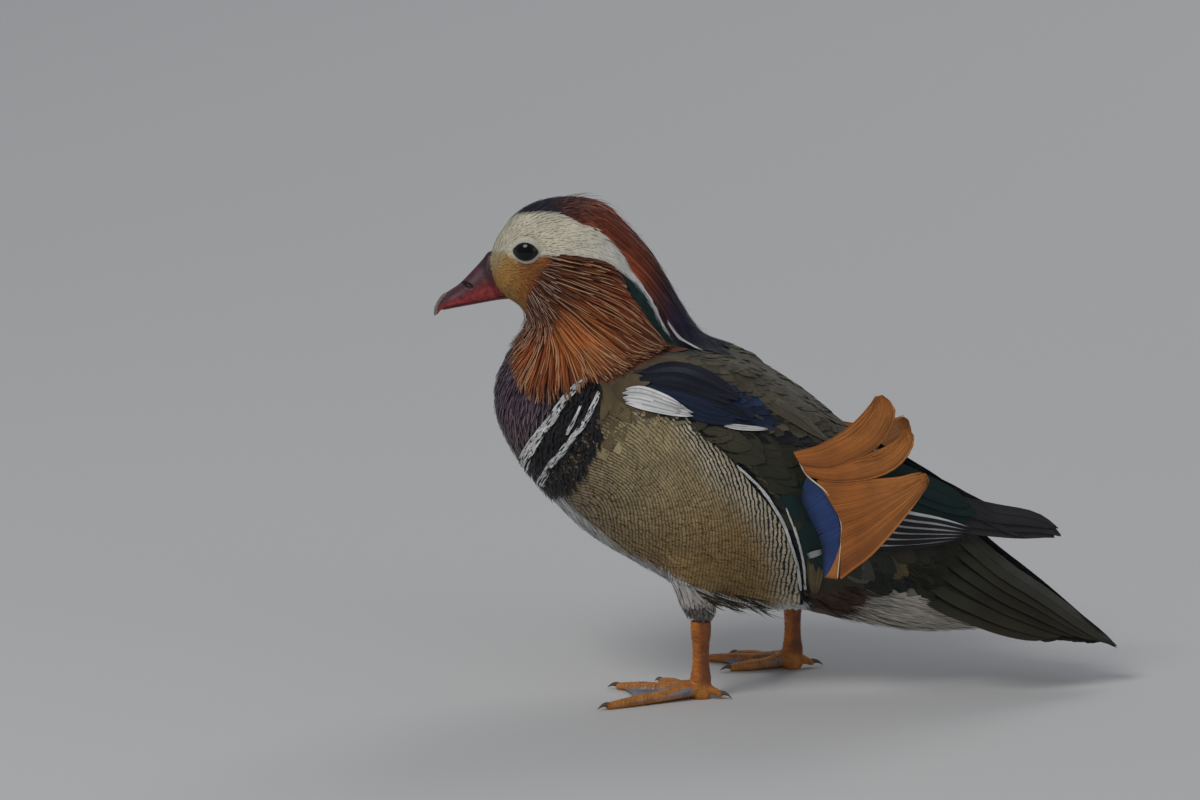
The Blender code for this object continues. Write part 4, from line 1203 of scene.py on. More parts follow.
# Breast bars
FRONT_BAR = [
    (588, 379), (577, 388), (566, 400), (557, 414), (547, 427), (537, 440), (529, 455), (526, 468),
]
REAR_BAR = [(599, 391), (596, 401), (588, 418), (572, 440), (560, 455), (550, 467), (543, 482)]
SPARE_BAR = [(583, 402), (577, 418), (568, 434)]


def strokes(coat, form, line, half_breadth, count, seed, reach=(9, 17), width=(0.35, 0.6), ragged=0.9,
            broken=0.14, lift=2.3):
    """Narrow white feathers that lie along a line, ragged towards its end."""
    rng = np.random.default_rng(seed)
    fine = smooth_line(line, 60)
    way = unit(np.gradient(fine, axis=0))
    off = np.column_stack([way[:, 1], -way[:, 0]])
    total = np.linalg.norm(np.diff(fine, axis=0), axis=1).sum()
    for _, side in SIDES:
        start = rng.uniform(0, 0.95, count)
        spread = 1 + ragged * ease(0.45, 1.0, start)
        aside = rng.uniform(-1, 1, count) * half_breadth * (1 - 0.35 * ease(0.2, 0.0, start)) * spread
        long = rng.uniform(*reach, count) / total
        stations = np.clip(start[:, None] + long[:, None] * np.linspace(0, 1, 4), 0, 1)
        drift = rng.normal(0, 0.5, (count, 1)) * ragged * np.linspace(0, 1, 4)
        aside = (aside[:, None] + drift)[..., None]
        lines = traced(form, part_way(fine, stations) + aside * part_way(off, stations), side)
        white = COLOUR["white"] * rng.uniform(0.78, 1.08, (count, 1))
        dark = rng.random(count) < broken * (1 + 2 * ragged * ease(0.5, 1.0, start))
        white[dark] = COLOUR["black"] * 1.5
        height = lift * rng.uniform(0.9, 1.1, count)
        vanes(coat, lines, rng.uniform(*width, count), SMALL_VANE, (height * 0.6, height), 0.03, 3, white,
              rng)


def breast_painted_glints(tint, places, rng):
    n = len(tint)
    # Painted highlights: pale glints along the shafts of most breast feathers
    painted_glint = rng.uniform(0.15, 0.75, n) * (rng.random(n) < 0.75)
    return np.column_stack([np.tile([0.42, 0.34, 0.40], (n, 1)), painted_glint])


def black_tint(tint, lines, rng):
    return COLOUR["black"] * rng.uniform(0.5, 1.8, (len(tint), 1))


def make_breast(form, zone):
    coat = Coat()
    here = in_zone(zone, "breast")
    grow(coat, form, here, 1.55, 8.5, 1.0, SMALL_VANE, 1.5, 11, wander=0.16, vary=0.25,
         shaft=breast_painted_glints, notch=0.3)
    bars = in_zone(zone, "patch")
    grow(coat, form, bars, 1.4, 6.2, 1.1, SMALL_VANE, 2.0, 12, wander=0.10, recolour=black_tint)
    strokes(coat, form, FRONT_BAR, 3.4, 300, 13)
    strokes(coat, form, REAR_BAR, 2.2, 220, 14)
    strokes(coat, form, SPARE_BAR, 0.8, 20, 15)
    finish = feather_finish("breast_feathers", 0.42, barb=0.22, sheen=0.06, shaft_width=0.14, gloss=0.3)
    coat.build("breast_coat", finish)


def flank_length(places):
    _, radius = flank_way(places)
    room = (REAR_RADIUS - 1 - radius) * DRAWN_UNIT / MM
    return np.where(places[:, 0] > 690, np.clip(room, 2.0, 12.0), 10.5)


def flank_tint(tint, lines, rng):
    """Browner and darker beside the breast."""
    near = ease(632, 566, drawn(lines[0][:, 0])[:, 0])[:, None]
    return tint + (COLOUR["flank_front"] - tint) * near


FLANK_REACH = [
    (590, 420), (606, 410), (622, 406), (642, 403), (690, 412), (730, 432), (768, 470), (792, 512),
    (806, 550), (812, 590), (806, 606), (770, 608), (748, 606), (732, 603), (705, 594), (679, 580),
    (655, 567), (615, 547), (583, 518), (560, 497), (541, 491), (538, 474), (560, 445), (580, 420),
]


FLANK_MIDDLE = [(590, 520), (640, 545), (720, 560), (752, 590), (700, 580), (640, 560)]

# White lines at the flank's rear edge, with black between them
EDGE_LINES = [
    ([(735, 464), (757, 484), (771, 503), (781.5, 521), (789, 541), (796, 564), (799.5, 587)], 1.0, 210),
    ([(784, 506), (793.5, 529), (799, 547), (802.7, 566), (804, 586)], 0.7, 110),
]


def edge_lines(coat, form):
    for seed, (line, half_breadth, count) in enumerate(EDGE_LINES, 25):
        strokes(coat, form, line, half_breadth, count, seed, reach=(8, 15), width=(0.25, 0.4), ragged=0.0,
                broken=0.03, lift=1.9)


def make_flanks(form, zone):
    coat = Coat()
    here = in_zone(zone, "flank")
    grow(coat, form, here, 1.45, flank_length, 1.5, SOFT_VANE, 1.1, 21, wander=0.06, vary=0.05,
         flank=True, notch=0.25, share=0.7, shade=(0.9, 0.94), within=FLANK_REACH, recolour=flank_tint)
    flank_wisps(coat, form)
    field = flank_field()
    points = np.vstack(coat.points)
    places = drawn(points)
    _, radius = flank_way(places)
    radius = radius - 60 * ease(715, 630, places[:, 0])
    contrast = 1.0 + 0.25 * ease(660, 600, places[:, 0])
    contrast *= 1 - 0.40 * inside(FLANK_MIDDLE, places, 18)
    contrast *= 1 - 0.6 * ease(588, 604, places[:, 1]) * ease(745, 775, places[:, 0])
    finish = feather_finish("flank_feathers", 0.62, barb=0.08, vary=0.05, sheen=0.05, bump=0.00008,
                            vermiculated=True)
    obj = coat.build("flank_coat", finish)
    flow = np.column_stack([read_field(field, places), radius, contrast])
    set_attribute(obj.data, "Flow", "FLOAT_VECTOR", flow)


def flank_wisps(coat, form):
    """Loose dark and pale ends that hang free below the flank's rear edge."""
    rng = np.random.default_rng(22)
    count, rows = 60, 9
    for _, side in SIDES:
        start = np.column_stack([rng.uniform(690, 752, count), rng.uniform(588, 598, count)])
        start[:, 1] += (start[:, 0] - 700) * 0.09
        end = start + np.column_stack([rng.uniform(18, 42, count), rng.uniform(9, 20, count)])
        end[:, 1] = np.minimum(end[:, 1], 621)
        s = np.linspace(0, 1, rows)[None, :, None]
        paths = start[:, None] * (1 - s) + end[:, None] * s
        paths[..., 1] += 2.0 * np.sin(s[..., 0] * math.pi)
        root, normals = form.seen_at(start, side)
        reach = np.abs(root[:, 1])[:, None] + (0.8 - 3.0 * s[..., 0]) * MM
        x = (paths[..., 0] - DRAWN_ZERO[0]) * DRAWN_UNIT
        up = (DRAWN_ZERO[1] - paths[..., 1]) * DRAWN_UNIT
        z = (up + reach * math.sin(TILT)) / math.cos(TILT)
        centre = np.stack([x, side * reach, z], axis=-1)
        lines = line_frame(centre, np.repeat(normals[:, None], rows, axis=1))
        tint = COLOUR["coverts_low"] * rng.uniform(0.3, 1.2, (count, 1))
        tint[rng.random(count) < 0.35] = COLOUR["belly"] * 0.75
        vanes(coat, lines, rng.uniform(0.25, 0.55, count), HACKLE, (0.0, 0.0), 0.02, 3, tint, rng)


NEAR_THIGH = [(655, 575), (700, 580), (722, 625), (672, 625)]


def thigh_tint(tint, lines, rng):
    places = drawn(lines[0][:, 0])
    near = inside(NEAR_THIGH, places, 8)[:, None]
    # The thigh's grey is partly painted shade, and low down near the leg it is painted darker still, as
    # shade under the body
    tint = tint + (COLOUR["thigh"] - tint) * near * 0.9
    low = ease(590, 606, places[:, 1])[:, None] * near
    return tint + (COLOUR["thigh"] * 0.3 - tint) * low


def belly_length(places):
    """Short near the ends of the thighs."""
    return np.clip((612 - places[:, 1]) * 0.36, 3.6, 10.5)


def make_belly(form, zone):
    coat = Coat()
    x, _, high = form.centres.T / MM
    places = drawn(form.centres)
    belly = (zone == 0) & (high > 39.5) & (high < 150) & (x < 30)
    belly &= (places[:, 1] > 485) | (places[:, 0] < 540)
    grow(coat, form, belly, 1.35, belly_length, 0.85, SOFT_VANE, 1.2, 31, wander=0.07, vary=0.05,
         notch=0.35, recolour=thigh_tint, shade=(0.85, 0.95))
    under = in_zone(zone, "undertail") | ((zone == 0) & (x >= 30) & (x < 104))
    grow(coat, form, under & (places[:, 0] < 985), 1.6, 18, 0.7, HACKLE, 1.8, 32, wander=0.10,
         vary=0.06, notch=0.4, shade=(0.8, 0.95))
    finish = feather_finish("soft_white_feathers", 0.75, barb=0.10, vary=0.06, sheen=0.15, bump=0.00008)
    coat.build("belly_coat", finish)


def make_back(form, zone):
    coat = Coat()
    mantle = in_zone(zone, "mantle")
    grow(coat, form, mantle, 2.5, 13, 3.3, ROUND_VANE, 1.3, 41, wander=0.08, vary=0.10, cols=5, share=0.2,
         shade=(0.85, 0.85))
    rump = in_zone(zone, "rump")
    grow(coat, form, rump, 2.6, 14, 2.8, ROUND_VANE, 1.4, 42, wander=0.12, vary=0.2, cols=5)
    patch = in_zone(zone, "olive", "rufous")
    grow(coat, form, patch, 1.3, 15, 0.5, HACKLE, 2.0, 43, wander=0.2, vary=0.3, notch=0.3)
    tail = in_zone(zone, "tail") | ((zone == 0) & (form.centres[:, 0] >= 104 * MM))
    grow(coat, form, tail & (form.centres[:, 0] < 115 * MM), 3.0, 13, 2.6, ROUND_VANE, 0.6, 44, wander=0.05,
         vary=0.15, cols=5)
    finish = feather_finish("back_feathers", 0.55, barb=0.16, vary=0.10, sheen=0.03)
    coat.build("back_coat", finish)


def make_wing(form, zone):
    coat = Coat()
    band = in_zone(zone, "band")
    grow(coat, form, band, 2.2, 13, 2.2, ROUND_VANE, 1.2, 51, wander=0.05, vary=0.2, cols=5)
    coverts = in_zone(zone, "coverts", "green_wing")
    grow(coat, form, coverts, 3.8, 20, 5.0, ROUND_VANE, 1.4, 52, wander=0.05, vary=0.06, shade=(0.85, 0.85),
         shaft=np.array([0.02, 0.02, 0.012, 0.5]), cols=7)
    edge = in_zone(zone, "edge_bars")
    grow(coat, form, edge, 1.3, 6, 1.1, ROUND_VANE, 1.0, 54, wander=0.1, vary=0.2)
    scapular = in_zone(zone, "scapular")
    grow(coat, form, scapular, 2.6, 13, 3.0, ROUND_VANE, 1.3, 53, wander=0.08, vary=0.25, cols=5)
    edge_lines(coat, form)
    finish = feather_finish("wing_feathers", 0.48, period=0.6, barb=0.12, vary=0.06, sheen=0.02, gloss=0.3)
    coat.build("wing_coat", finish, [f"wing_{name}" for name, _ in SIDES])


# Upper and lower lines that long feathers of the shoulder and wing lie between
OLIVE_FAN = ([(690, 352), (735, 352), (790, 376), (846, 420)],
             [(668, 408), (720, 420), (780, 434), (844, 437)])
BAND_FAN = ([(640, 407), (700, 420), (763, 433), (847, 438)],
            [(650, 412), (703, 427), (763, 441), (838, 445)])
BLUE_FAN = ([(630, 378), (672, 369), (712, 382), (757, 418)],
            [(628, 396), (664, 402), (706, 417), (754, 428)])
WHITE_FAN = ([(619, 392), (638, 388), (662, 397), (684, 407), (705, 417)],
             [(621, 403), (640, 408), (662, 412), (684, 416), (705, 418.5)])
SMALL_WHITE_FAN = ([(722, 424), (742, 427), (765, 430.5)], [(722, 427), (742, 431), (765, 432.5)])
SECONDARY_FAN = ([(806, 462), (815, 495), (823, 530), (824, 572)],
                 [(764, 462), (786, 496), (804, 538), (811, 578)])
PALE_TIP_FAN = ([(805, 551), (820, 544.5)], [(807, 555), (820, 548)])
BROWN_FAN = ([(821, 548), (819, 566), (815, 590)], [(807, 556), (809, 572), (811, 590)])


def long_feathers(form):
    """The larger feathers of the shoulders and wings, each drawn by its own line."""
    coat = Coat()
    for _, side in SIDES:
        rng = np.random.default_rng(60)
        # Olive scapulars, the lowest laid first
        n = 11
        shares = np.linspace(1, 0, n)
        start = 0.10 + 0.25 * rng.random(n)
        end = np.clip(0.80 + 0.22 * rng.random(n) - 0.10 * shares, 0, 1)
        paths = fan_paths(*OLIVE_FAN, shares, 13, start, end)
        colour = blend_of("mantle", "black", 0.25 * rng.random(n) + 0.45 * (shares > 0.9))
        lift = 0.7 + 1.3 * (1 - shares)
        place_long(coat, form, paths, side, 4.6, lift, colour, rng, 1.15)
        # The black band below them
        n = 7
        start, end = 0.25 * rng.random(n), 1 - 0.2 * rng.random(n)
        paths = fan_paths(*BAND_FAN, np.linspace(1, 0, n), 13, start, end)
        place_long(coat, form, paths, side, 1.8, 1.2, np.tile(COLOUR["black"], (n, 1)), rng, 1.0)
        # Blue-black scapulars behind the white shoulder feathers, the lower ones with a painted blue sheen
        n = 9
        shares = np.linspace(1, 0, n)
        start = 0.05 + 0.3 * rng.random(n)
        end = 0.72 + 0.26 * rng.random(n)
        paths = fan_paths(*BLUE_FAN, shares, 13, start, end)
        colour = blend_of("scapular", "scapular_blue_sheen", np.where(shares > 0.5, 0.9, 0.05))
        place_long(coat, form, paths, side, 3.2, 2.2 + 0.8 * (1 - shares), colour, rng, 0.5)
        # White shoulder feathers
        n = 9
        shares = rng.permutation(np.linspace(0.08, 0.92, n))
        start = 0.10 * rng.random(n)
        end = 0.66 + 0.34 * rng.random(n) * (0.4 + 0.6 * shares)
        paths = fan_paths(*WHITE_FAN, shares, 11, start, end)
        colour = COLOUR["white"] * rng.uniform(0.92, 1.08, (n, 1))
        place_long(coat, form, paths, side, 1.5, 3.4, colour, rng, 1.0)
        paths = fan_paths(*SMALL_WHITE_FAN, [0.2, 0.8], 9)
        place_long(coat, form, paths, side, 0.8, 3.0, COLOUR["white"] * np.ones((2, 1)), rng, 1.0)
        # Dark secondaries, a white tip on one, and brown feathers behind it
        n = 7
        shares = np.linspace(0, 1, n)
        start, end = 0.1 + 0.1 * rng.random(n), 1 - 0.08 * rng.random(n)
        paths = fan_paths(*SECONDARY_FAN, shares, 13, start, end)
        colour = np.repeat(COLOUR["secondary"][None], n, axis=0)
        place_long(coat, form, paths, side, 3.0, 1.6 + 0.8 * (1 - shares), colour, rng, 1.0)
        paths = fan_paths(*PALE_TIP_FAN, [0.0, 0.35, 0.7, 1.0], 5)
        place_long(coat, form, paths, side, 0.55, 3.2, COLOUR["white"] * 0.9 * np.ones((4, 1)), rng, 1.0)
        paths = fan_paths(*BROWN_FAN, np.linspace(0, 1, 6), 9)
        colour = COLOUR["olive"] * rng.uniform(0.6, 1.1, (6, 1))
        place_long(coat, form, paths, side, 1.3, 2.6, colour, rng, 1.0)
    finish = feather_finish("long_wing_feathers", 0.45, period=0.7, barb=0.12, vary=0.08, sheen=0.02,
                            shaft_width=0.3, gloss=0.3)
    coat.build("shoulder_coat", finish, [f"scapulars_{name}" for name, _ in SIDES])


def place_long(coat, form, paths, side, half_width, lift, colour, rng, fringe):
    """Long feathers along drawn paths, each a little lighter or darker at its fringe."""
    lines = traced(form, paths, side)
    lift = np.broadcast_to(lift, len(paths))

    def tint(s, c, grid):
        edge = 1 + (fringe - 1) * ease(0.6, 1.0, np.abs(c)) + 0 * s
        return colour[:, None, None, :] * edge[..., None]

    shaft = np.column_stack([colour * 0.35, np.full(len(colour), 0.7)])
    vanes(coat, lines, half_width, LONG_VANE, (lift * 0.55, lift), 0.014, 7, tint, rng, shaft, 0.2)


# The head. Each eye is a lens that faces out, a little forward and a little up.
EYE_PLACE = np.array([-111.5, 13.2, 201.3])
EYE_RADII = np.array([6.0, 4.2, 5.5])
EYE_FORWARD = math.radians(15.0)
EYE_UP = math.radians(7.0)
LID_OPENING = (5.2, 4.1)
LID_CORNER = 1.2
LID_PROFILE = [
    (-0.35, -0.5), (0.0, 0.15), (0.25, 0.42), (0.65, 0.38), (1.05, 0.16), (1.4, 0.24), (2.1, -0.1),
    (3.2, -0.6),
]


LID_COLOURS = [
    (0.03, 0.02, 0.015), (0.10, 0.08, 0.06), (0.42, 0.40, 0.35), (0.66, 0.64, 0.58),
    (0.60, 0.57, 0.48), (0.70, 0.66, 0.54), (0.66, 0.60, 0.46), (0.6, 0.52, 0.38),
]


def eye_frame(side):
    turn = Matrix.Rotation(EYE_FORWARD * side, 3, "Z") @ Matrix.Rotation(EYE_UP * side, 3, "X")
    return np.array(turn), EYE_PLACE * (1, side, 1)


def off_the_eyes(form, gap):
    """1 for each triangle that lies outside the eyes by more than gap mm, else 0."""
    far = np.ones(len(form.centres))
    for _, side in SIDES:
        turn, place = eye_frame(side)
        local = (form.centres / MM - place) @ turn
        reach = np.hypot(local[:, 0] / (LID_OPENING[0] + gap), local[:, 2] / (LID_OPENING[1] + gap))
        far *= (reach > 1) | (local[:, 1] * side < -6)
    return far


def make_lids(form):
    lids = []
    for name, side in SIDES:
        turn, place = eye_frame(side)
        angle = np.linspace(0, 2 * math.pi, 72, endpoint=False)
        rows = []
        for off, height in LID_PROFILE:
            corner = LID_CORNER * np.maximum(np.cos(angle), 0) ** 12
            rear = 0.5 * np.maximum(-np.cos(angle), 0) ** 10
            x = -np.cos(angle) * (LID_OPENING[0] + corner + rear + off)
            z = np.sin(angle) * (LID_OPENING[1] + off)
            reach = np.clip((x / (EYE_RADII[0] + 0.4)) ** 2 + (z / (EYE_RADII[2] + 0.4)) ** 2, 0, 1)
            y = (EYE_RADII[1] * np.sqrt(1 - reach) + height) * side
            points = np.column_stack([x, y, z]) @ turn.T + place
            if off > 1.2:
                at, normals, _ = form.snap(points * MM)
                hold = ease(1.0, 2.4, off)
                points = points + (at / MM + normals * (height + 0.35) - points) * hold
            rows.append(points)
        points = np.concatenate(rows) * MM
        n = len(angle)
        faces = ring_faces(n, len(rows))
        # Seen from outside, the ring runs the other way round on the two sides
        faces = faces if side > 0 else faces[:, ::-1]
        lid = mesh_object(f"lid_{name}", points, faces)
        set_tint(lid.data, np.repeat(LID_COLOURS, n, axis=0))
        lid.data.materials.append(bpy.data.materials["down"])
        lids.append(lid)
    return lids


def eye_finish():
    material, tree, shader = node_graph("eye")
    reach = split_node(tree, attribute_node(tree, "Iris").outputs["Vector"])[0]
    place = object_place(tree)
    fibres = noise_node(tree, place, 1500.0, 3.0)
    iris = mix_node(tree, fibres, (0.006, 0.004, 0.003), (0.022, 0.011, 0.006))
    pupil = range_node(tree, reach, 3.3, 3.6, 0.0, 1.0)
    colour = mix_node(tree, pupil, (0.001, 0.001, 0.001), iris)
    rim = range_node(tree, reach, 4.9, 5.5, 0.0, 1.0)
    tree.links.new(mix_node(tree, rim, colour, (0.003, 0.002, 0.002)), shader.inputs["Base Color"])
    rough = range_node(tree, fibres, 0.3, 0.7, 0.04, 0.07)
    tree.links.new(rough, shader.inputs["Roughness"])
    shader.inputs["IOR"].default_value = 1.36
    return material


def make_eyes():
    material = eye_finish()
    for name, side in SIDES:
        bpy.ops.object.select_all(action="DESELECT")
        bpy.ops.mesh.primitive_uv_sphere_add(segments=64, ring_count=32, radius=1.0)
        obj = bpy.context.active_object
        obj.name = f"{name}_eye"
        turn, place = eye_frame(side)
        local = read(obj.data.vertices, "co", 3) * EYE_RADII
        points = (local @ turn.T + place) * MM
        set_points(obj.data, points)
        obj.data.shade_smooth()
        reach = np.hypot(local[:, 0], local[:, 2])
        iris = np.column_stack([reach, local[:, 1] * side, np.arctan2(local[:, 2], local[:, 0])])
        set_attribute(obj.data, "Iris", "FLOAT_VECTOR", iris)
        obj.data.materials.append(material)
        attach(obj, "root")
        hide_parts(f"eye_{name}")


# The bill: x, top, bottom and half width in mm
UPPER_BILL = [
    (-112.0, 192.0, 181.5, 8.2), (-123.0, 198.2, 179.7, 8.0), (-128.4, 198.4, 178.5, 7.8),
    (-131.4, 195.0, 177.8, 7.5), (-134.0, 192.0, 177.3, 7.3), (-137.5, 188.2, 176.5, 7.0),
    (-141.5, 184.0, 175.7, 6.7), (-146.2, 180.6, 174.7, 6.2), (-149.8, 178.2, 173.0, 5.0),
    (-151.9, 175.2, 170.3, 3.2), (-152.9, 173.2, 169.3, 1.9),
]
LOWER_BILL = [
    (-112.0, 181.1, 177.2, 6.6), (-123.0, 179.3, 177.0, 7.0), (-136.0, 176.5, 174.7, 6.4),
    (-145.0, 174.5, 172.9, 5.4), (-149.0, 173.0, 171.9, 3.0),
]
NOSTRIL = (-138.3, 184.2)
NOSTRIL_SIZE = (2.7, 1.0)
NAIL_START = -147.6
BILL_AROUND, BILL_ACROSS, BILL_RINGS = 56, 12, 110
# Each half of the bill: name, stations, tip, how full its arch is, whether it is the upper one
BILL_HALVES = (
    ("upper_bill_horn", UPPER_BILL, (-153.4, 0, 169.2), 0.8, True),
    ("lower_bill_horn", LOWER_BILL, (-150.0, 0, 172.3), 0.9, False),
)


def bill_surface(stations, end, arch_share, upper):
    """(points, faces) of rings round one half of the bill, from its root to its tip."""
    rings = []
    angle = np.linspace(0, math.pi, BILL_AROUND)
    for x, top, bottom, half_width in smooth_line(stations, BILL_RINGS):
        base, height = (bottom, top - bottom) if upper else (top, bottom - top)
        y = half_width * np.cos(angle)
        sharp = arch_share + (0.75 * float(ease(-140, -128, x)) if upper else 0.0)
        z = base + height * np.sin(angle) ** sharp
        flat = np.linspace(-half_width, half_width, BILL_ACROSS + 2)[1:-1]
        dip = 0.5 * np.cos(flat / half_width * math.pi / 2) * (1 if upper else -1)
        y, z = np.append(y, flat), np.append(z, base + dip)
        rings.append(np.column_stack([np.full(len(y), x), y, z]))
    # The last rings shrink to the tip
    last = rings[-1]
    for share in (0.35, 0.65, 0.85, 0.96):
        rings.append(last + (np.array(end) - last) * (share, share**2.2, share**2.2))
    return np.vstack(rings), ring_faces(len(rings[0]), len(rings))


def bill_finish():
    material, tree, shader = node_graph("bill")
    place = object_place(tree)
    tint = attribute_node(tree, "Tint").outputs["Color"]
    mottle = noise_node(tree, place, 420.0, 5.0, 0.65)
    fine = noise_node(tree, place, 2200.0, 3.0)
    shade = times(tree, range_node(tree, mottle, 0.3, 0.7, 0.62, 1.40),
                  range_node(tree, fine, 0.3, 0.7, 0.92, 1.06))
    tree.links.new(shaded(tree, tint, shade), shader.inputs["Base Color"])
    tree.links.new(range_node(tree, mottle, 0.3, 0.7, 0.36, 0.52), shader.inputs["Roughness"])
    tree.links.new(bump_node(tree, fine, 0.00006, 0.5), shader.inputs["Normal"])
    shader.inputs["Subsurface Weight"].default_value = 0.08
    shader.inputs["Subsurface Radius"].default_value = (0.003, 0.001, 0.0007)
    shader.inputs["Specular IOR Level"].default_value = 0.35
    return material


BILL_TOP = np.array([0.085, 0.028, 0.040])
BILL_EDGE = np.array([0.26, 0.030, 0.028])
BILL_LOW = np.array([0.16, 0.035, 0.032])
NAIL_HORN = np.array([0.22, 0.17, 0.14])


def make_bill():
    material = bill_finish()
    for name, stations, end, arch, upper in BILL_HALVES:
        points, faces = bill_surface(stations, end, arch, upper)
        x, y, z = points.T
        if upper:
            # The nostril is a slot with a low rim, and the nail stands out at the tip
            ahead, above = x - NOSTRIL[0], z - NOSTRIL[1]
            off = (ahead / NOSTRIL_SIZE[0]) ** 2 + ((above + 0.30 * ahead) / NOSTRIL_SIZE[1]) ** 2
            pit = ease(1.25, 0.35, off) * (np.abs(y) > 1.2)
            rim = ease(2.6, 1.5, off) * (1 - pit)
            points[:, 1] -= np.sign(y) * (1.5 * pit - 0.12 * rim)
            nail = ease(NAIL_START + 0.3, NAIL_START - 0.3, x + 0.05 * y**2) * ease(3.6, 2.9, np.abs(y))
            points[:, 2] += 0.28 * nail * ease(NAIL_START + 0.3, NAIL_START - 1.0, x)
            # A seam runs along the side, below the ridge's darker colour
            table = np.array(stations)[::-1]
            bottom = np.interp(x, table[:, 0], table[:, 2])
            top = np.interp(x, table[:, 0], table[:, 1])
            height = (z - bottom) / (top - bottom)
            seam = ease(0.055, 0.0, np.abs(height - 0.27))
            points[:, 1] -= np.sign(y) * 0.22 * seam
            tint = BILL_TOP + (BILL_EDGE - BILL_TOP) * ease(0.62, 0.16, height)[:, None]
            tint = tint * (1 - 0.5 * ease(0.04, 0.0, np.abs(height - 0.05)))[:, None]
            # Painted shade: the nostril's pit is painted nearly black
            tint = tint * (1 - 0.92 * pit[:, None])
            tint = tint * (1 - 0.45 * ease(-133.2, -130.8, x + 0.55 * (z - 185) - 3.5))[:, None]
            tint += (NAIL_HORN - tint) * nail[:, None]
        else:
            tint = np.tile(BILL_LOW, (len(points), 1))
            tint += (NAIL_HORN * 0.7 - tint) * ease(-147.0, -148.4, x)[:, None]
        obj = mesh_object(name, points * MM, faces[:, ::-1] if upper else faces)
        close_ends(obj.data)
        set_tint(obj.data, tint)
        obj.data.materials.append(material)
        obj.data.shade_smooth()
        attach(obj, "root")
        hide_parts(name.replace("_horn", ""))


CLAW_LENGTH, CLAW_RADIUS, CLAW_HEIGHT = 4.6, 1.3, 1.9


def horn_finish():
    material, tree, shader = node_graph("claw_horn")
    place = object_place(tree)
    grain = noise_node(tree, place, 900.0, 4.0)
    colour = mix_node(tree, grain, (0.055, 0.030, 0.022), (0.18, 0.12, 0.085))
    tree.links.new(colour, shader.inputs["Base Color"])
    tree.links.new(range_node(tree, grain, 0.3, 0.7, 0.28, 0.42), shader.inputs["Roughness"])
    tree.links.new(bump_node(tree, grain, 0.00008, 0.5), shader.inputs["Normal"])
    return material


def make_claws():
    points, faces, names = [], [], []
    count, rows, around = 0, 12, 14
    for side_name, _ in SIDES:
        x, y = LEG_PLACES[side_name]
        for name, length, way in toe_ways(side_name):
            names.append(f"claw_{side_name}_{name}")
            start = np.array([x, y]) + way * (length - 0.9)
            across = np.array([-way[1], way[0]])
            base = 2.6 if name == "hind" else CLAW_HEIGHT + 0.1
            for row in range(rows):
                s = row / (rows - 1)
                radius = CLAW_RADIUS * (1 - s) ** 0.75 + 0.08
                run = (CLAW_LENGTH + 1.0) * s
                high = base + 0.9 * math.sin(s * math.pi * 0.8) - base * 0.93 * s**1.6
                angle = np.linspace(0, 2 * math.pi, around, endpoint=False)
                flat = start + way * run + across * (radius * 0.85 * np.cos(angle))[:, None]
                z = np.maximum(high + radius * np.sin(angle), 0.02)
                points.append(np.column_stack([flat, z]))
            faces.append(ring_faces(around, rows, count))
            count += rows * around
    obj = mesh_object("claws", np.vstack(points) * MM, np.vstack(faces))
    close_ends(obj.data)
    obj.data.shade_smooth()
    obj.data.materials.append(horn_finish())
    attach(obj, "root")
    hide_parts(*names)


def make_face(form, zone):
    coat = Coat()
    clear = off_the_eyes(form, 0.9)
    face = in_zone(zone, "face", "cheek") * clear
    grow(coat, form, face, 0.72, 3.0, 0.42, SMALL_VANE, 0.5, 71, wander=0.14, camber=0.03,
         vary=0.06, notch=0.3, shade=(0.92, 0.96))
    brow = in_zone(zone, "brow") * clear

    def brow_length(places):
        return 3.2 + 6.5 * ease(535, 640, places[:, 0])

    grow(coat, form, brow, 0.80, brow_length, 0.45, SMALL_VANE, 0.55, 72, wander=0.08, camber=0.03,
         vary=0.035, notch=0.3, shade=(0.92, 0.96))
    finish = feather_finish("face_feathers", 0.65, period=0.35, barb=0.08, vary=0.05, sheen=0.12,
                            bump=0.00006)
    coat.build("face_coat", finish)


CREST_END = np.array([738.0, 368.0])
STRIPE = [(664, 318), (671, 330), (682, 343), (693, 352), (704, 357)]


CROWN_REACH = [
    (465, 262), (490, 180), (560, 165), (620, 190), (660, 225), (700, 290), (703, 325), (710, 338),
    (724, 351), (742, 369), (726, 374), (712, 366), (698, 360), (680, 352), (664, 332), (650, 300),
    (630, 270), (611, 243), (580, 224), (545, 213), (520, 214), (505, 222), (489, 241), (482, 250),
]
CREST_REACH = [
    (540, 180), (600, 190), (650, 225), (695, 290), (703, 325), (710, 338), (724, 351), (742, 369),
    (726, 374), (712, 366), (698, 360), (680, 352), (664, 332), (650, 300), (620, 255), (560, 215),
]


def crown_tint(tint, lines, rng):
    """Dark and coppery strands side by side, each changing colour along the crest."""
    centre = lines[0]
    paint = crown_colour(drawn(centre.reshape(-1, 3))[:, 0]).reshape(centre.shape)
    return paint * rng.lognormal(-0.05, 0.38, (len(centre), 1, 1)).clip(0.3, 2.2)


